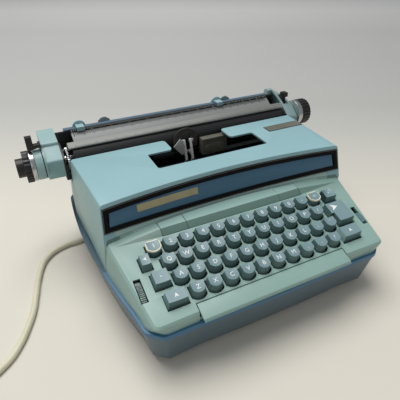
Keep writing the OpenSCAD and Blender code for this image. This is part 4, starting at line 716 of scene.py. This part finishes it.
def band(name, outer, inner, put, low, high, body, slot, mat):
    """A thin raised line between two outlines, mapped onto a surface."""
    n = len(outer)
    verts = [put(*p, low) for p in outer] + [put(*p, high) for p in outer]
    verts += [put(*p, high) for p in inner] + [put(*p, low) for p in inner]
    faces = []
    for i in range(n):
        j = (i + 1) % n
        for k in range(3):
            faces.append((k * n + i, k * n + j, (k + 1) * n + j, (k + 1) * n + i))
        faces.append((3 * n + i, 3 * n + j, j, i))
    return raw(name, verts, faces, body, slot, mat)


border = band("frame_border", outline(0), outline(5.8), wall, -0.2, 0.8, "cover", "frame_black", M["black"])
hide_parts("front_frame")
# The chrome line round the frame, coloured as its painted reflection
band("frame_line", outline(0.6), outline(0.95), wall, 0.6, 0.9, "cover", "chrome", M["trim"])


def plate(name, put, x0, x1, y0, y1, low, high, body, slot, mat, n=24, chamfer=0.25):
    """A thin plate laid on a surface, with a chamfered edge."""
    xs = [x0 + (x1 - x0) * i / n for i in range(n + 1)]

    def ring(d):
        a = [(min(max(x, x0 + d), x1 - d), y0 + d) for x in xs]
        return a + [(x, y1 - d) for x, _ in reversed(a)]
    rings = [(ring(0), low), (ring(0), high - chamfer), (ring(chamfer), high)]
    m = len(rings[0][0])
    verts = [put(*p, h) for pts, h in rings for p in pts]
    faces = []
    for k in range(2):
        for i in range(m):
            j = (i + 1) % m
            faces.append((k * m + i, k * m + j, (k + 1) * m + j, (k + 1) * m + i))
    for i in range(n):
        faces.append((2 * m + i, 2 * m + i + 1, 2 * m + m - 2 - i, 2 * m + m - 1 - i))
        faces.append((i + 1, i, m - 1 - i, m - 2 - i))
    return raw(name, verts, faces, body, slot, mat)


def cover_top(x, y, h):
    return at(x, y, COVER_TOP + h)


def behind_slots(x, z, h):
    return at(x, SHADE_SHEET_Y - h, z)


plate("badge_plate", wall, -115.6, -41.0, 19.6, 27.8, -0.1, 0.55, "cover", "frame_black", M["badge"])
plate("cover_plate_edge", cover_top, 100.2, 156.4, 107.6, 123.6, -0.05, 0.35, "cover", "frame_black",
      M["black"])
plate("cover_plate", cover_top, 101.0, 155.6, 108.4, 122.8, 0.3, 0.55, "cover", "chrome", M["label"])
# Near-black sheet behind the rear slots: painted shade for the dark inside
plate("dark_sheet_painted_shade", behind_slots, -133, 133, 69, 97, 0, 1.6, "machine", "frame_black", M["painted_shade_sheet"],
      chamfer=0.5)


# Key legends
def glyph(text, size):
    """Verts and faces of a text, centred on the origin."""
    cu = bpy.data.curves.new("g", "FONT")
    cu.body, cu.size, cu.align_x, cu.align_y, cu.resolution_u = text, size, "CENTER", "CENTER", 3
    ob = bpy.data.objects.new("g", cu)
    scene.collection.objects.link(ob)
    me = evaluated(ob)
    verts = [(v.co.x, v.co.y) for v in me.vertices]
    faces = [tuple(p.vertices) for p in me.polygons]
    bpy.data.objects.remove(ob)
    return verts, faces


def arrow(dx, dy, size):
    """A plain arrowhead pointing along (dx, dy)."""
    px, py = -dy, dx
    return [(size * (dx * a + px * b), size * (dy * a + py * b))
            for a, b in ((0.6, 0), (-0.45, 0.5), (-0.2, 0), (-0.45, -0.5))], [(0, 1, 2, 3)]


# Height of the key tops over the deck, the depth of their dish, and how far legends stand proud of it
RISE, DISH, PROUD = 8.6, 0.6, 0.05


def down_deck(y):
    """The place up the deck of a key top that stands at y."""
    return (y + RISE * sin(SLOPE)) / cos(SLOPE)


def legends(name, body, marks):
    """One piece from marks of (x, v, width of the key top, verts, faces, shift in x, shift in v)."""
    verts, faces = [], []
    for x, v, w, gv, gf, dx, dv in marks:
        r = w * w / (8 * DISH)
        base = len(verts)
        for gx, gy in gv:
            u = gx + dx
            verts.append(deck(x + u, v + gy + dv, RISE - DISH + u * u / (2 * r) + PROUD))
        faces += [tuple(base + i for i in q) for q in gf]
    return raw(name, verts, faces, body, "ring_ivory", M["legend"])


# Pitch along a row and between rows, width of a key top, and heights of signs and of letters
PITCH_X, PITCH_V = 19.05, 19.67
KEY_WIDTH, SIGN, LETTER = 13.6, 6.4, 6.9
ROW_X = [-112.5, -103, -98.25, -88.7]
ROW_V = [down_deck(0) - i * PITCH_V for i in range(4)]
ROWS = [("number_row", "1234567890-="), ("upper_row", "QWERTYUIOP/"), ("home_row", "ASDFGHJKL;'"),
        ("lower_row", "ZXCVBNM,.?")]
# The H is on the letter key, which works alone
for r, (body, text) in enumerate(ROWS):
    marks = []
    for i, ch in enumerate(text):
        x = ROW_X[r] + i * PITCH_X
        mark = (x, ROW_V[r], KEY_WIDTH, *glyph(ch, LETTER if ch.isalnum() else SIGN), 0, 0.1)
        if ch == "H":
            legends("legend_letter", "letter", [mark])
        else:
            marks.append(mark)
    legends("legend_" + body, body, marks)

legends("legend_return", "return_key_body",
        [(113.5, down_deck(-27.7), 25, *arrow(1, 0, 9), -3.5, 6.5)])
legends("legend_shift", "shift",
        [(-112, down_deck(-56.5), 20, *arrow(0, 1, 4.5), 0, 0),
         (107.5, down_deck(-54.7), 23.5, *arrow(0, 1, 4.5), 0, 0)])
legends("legend_lock", "shift_lock", [(-118.3, down_deck(-33.7), 15.5, *glyph("-", 8), 0, 0.5)])
legends("legend_backspace", "backspace", [(-126.3, down_deck(-11.7), 9.4, *arrow(-1, 0, 4), 0, 0.5)])
legends("legend_margin", "margin_release", [(118.3, down_deck(-1.4), 15.3, *glyph("+", 6), 0, 0.5)])


# Scales on the carriage

# A tenth of an inch, the left end of each scale, and the face of the scale cover
TENTH = 2.54
BAIL_X, TABLE_X, SCALE_X = -150, -146, -148
SCALE_FACE = 189.96


def ticks(name, put, marks, body, slot, mat):
    """One piece from marks of (x, low, high, width), drawn as flat strips on a surface."""
    verts, faces = [], []
    for x, a, b, w in marks:
        base = len(verts)
        verts += [put(x - w / 2, a), put(x + w / 2, a), put(x + w / 2, b), put(x - w / 2, b)]
        faces.append((base, base + 1, base + 2, base + 3))
    return raw(name, verts, faces, body, slot, mat)


def on_slope(p0, p1, lift):
    """Maps (x, distance up the slope) onto a sloping face drawn from p0 to p1 in (y, z)."""
    d = hypot(p1[0] - p0[0], p1[1] - p0[1])
    uy, uz = (p1[0] - p0[0]) / d, (p1[1] - p0[1]) / d

    def put(x, s):
        return at(x, p0[0] + uy * s - uz * lift, p0[1] + uz * s + uy * lift)
    return put


bail_face = on_slope((157, 150.2), (165, 154.2), 0.2)
table_face = on_slope((175.9, 147.2), (189.8, 155.4), 0.2)
ticks("bail_ticks", bail_face,
      [(BAIL_X + TENTH * i, 0.5, 2.9 if i % 10 == 0 else 2.4 if i % 5 == 0 else 1.7, 0.8)
       for i in range(119)],
      "bail", "frame_black", M["tick_dark"])
ticks("table_ticks", table_face,
      [(TABLE_X + TENTH * i, 11.4 if i % 5 else 9.6, 15.6, 1.3) for i in range(115)],
      "carriage", "frame_black", M["tick_dark"])
ticks("scale_ticks", lambda x, z: at(x, SCALE_FACE, z),
      [(SCALE_X + TENTH * i, 157.2 if i % 5 else 156.2, 159.2, 0.8) for i in range(117)],
      "carriage", "ring_ivory", M["legend"])


def scale_numbers(highest=110, size=2.6, right=1.2, height=155.2):
    """The tens under the scale's ticks."""
    verts, faces = [], []
    for number in range(0, highest + 1, 10):
        gv, gf = glyph(str(number), size)
        base = len(verts)
        verts += [at(SCALE_X + TENTH * number + gx + right, SCALE_FACE, height + gy) for gx, gy in gv]
        faces += [tuple(base + k for k in q) for q in gf]
    raw("scale_numbers", verts, faces, "carriage", "ring_ivory", M["legend"])


scale_numbers()

# Floor and light

# The way the camera looks over the floor, how far the tones reach that way, and half the floor's side
SIGHT, TONES_REACH, FLOOR_HALF = (0.443, 0.897, 0), 2.1, 6
# The floor's tones from the near side to the far one; the paler far tones are painted light against the key
# lamp's falloff
TONES = [(0.05, "#d4d0c5"), (0.19, "#babab5"), (0.27, "#b0b1ae"), (0.48, "#b2b3b1"), (0.71, "#bbbcba"),
         (1.0, "#d8d9d7")]
AIR_COLOUR, AIR_STRENGTH = (0.95, 0.97, 1.0, 1), 0.31


def floor_material():
    """Paler near the camera and far away, and greyer between; the far paleness is painted light."""
    m = Mat("floor", "#dedad2", 0.75)
    depth = m.n("ShaderNodeVectorMath", operation="DOT_PRODUCT")
    m.link(m.co, depth.inputs[0])
    depth.inputs[1].default_value = SIGHT
    share = m.n("ShaderNodeMapRange")
    share.inputs["From Min"].default_value = 0.0
    share.inputs["From Max"].default_value = TONES_REACH
    m.link(depth.outputs["Value"], share.inputs["Value"])
    tone = m.ramp(share.outputs["Result"], [(place, lin(code)) for place, code in TONES])
    m.link(tone, m.b.inputs["Base Color"])
    return m.m


me = bpy.data.meshes.new("floor")
me.from_pydata([(FLOOR_HALF * x, FLOOR_HALF * y, 0) for x, y in ((-1, -1), (1, -1), (1, 1), (-1, 1))], [],
               [(0, 1, 2, 3)])
floor = bpy.data.objects.new("floor", me)
me.materials.append(floor_material())
scene.collection.objects.link(floor)

world = bpy.data.worlds.new("world")
scene.world = world
world.use_nodes = True
world.node_tree.nodes["Background"].inputs["Color"].default_value = AIR_COLOUR
world.node_tree.nodes["Background"].inputs["Strength"].default_value = AIR_STRENGTH


def lamp(name, loc, size, power, colour, target=(0, 0.03, 0.06)):
    """A round lamp that shines on the target."""
    data = bpy.data.lights.new(name, "AREA")
    data.shape = "DISK"
    data.size = size
    data.energy = power
    data.color = colour
    ob = bpy.data.objects.new(name, data)
    scene.collection.objects.link(ob)
    ob.location = loc
    ob.rotation_euler = (Vector(target) - Vector(loc)).to_track_quat("-Z", "Y").to_euler()


lamp("key_light", (-0.30, 0.75, 2.60), 2.2, 70, (1, 0.985, 0.96))
lamp("fill_light", (-0.9, -0.9, 0.8), 1.2, 2, (0.96, 0.98, 1))
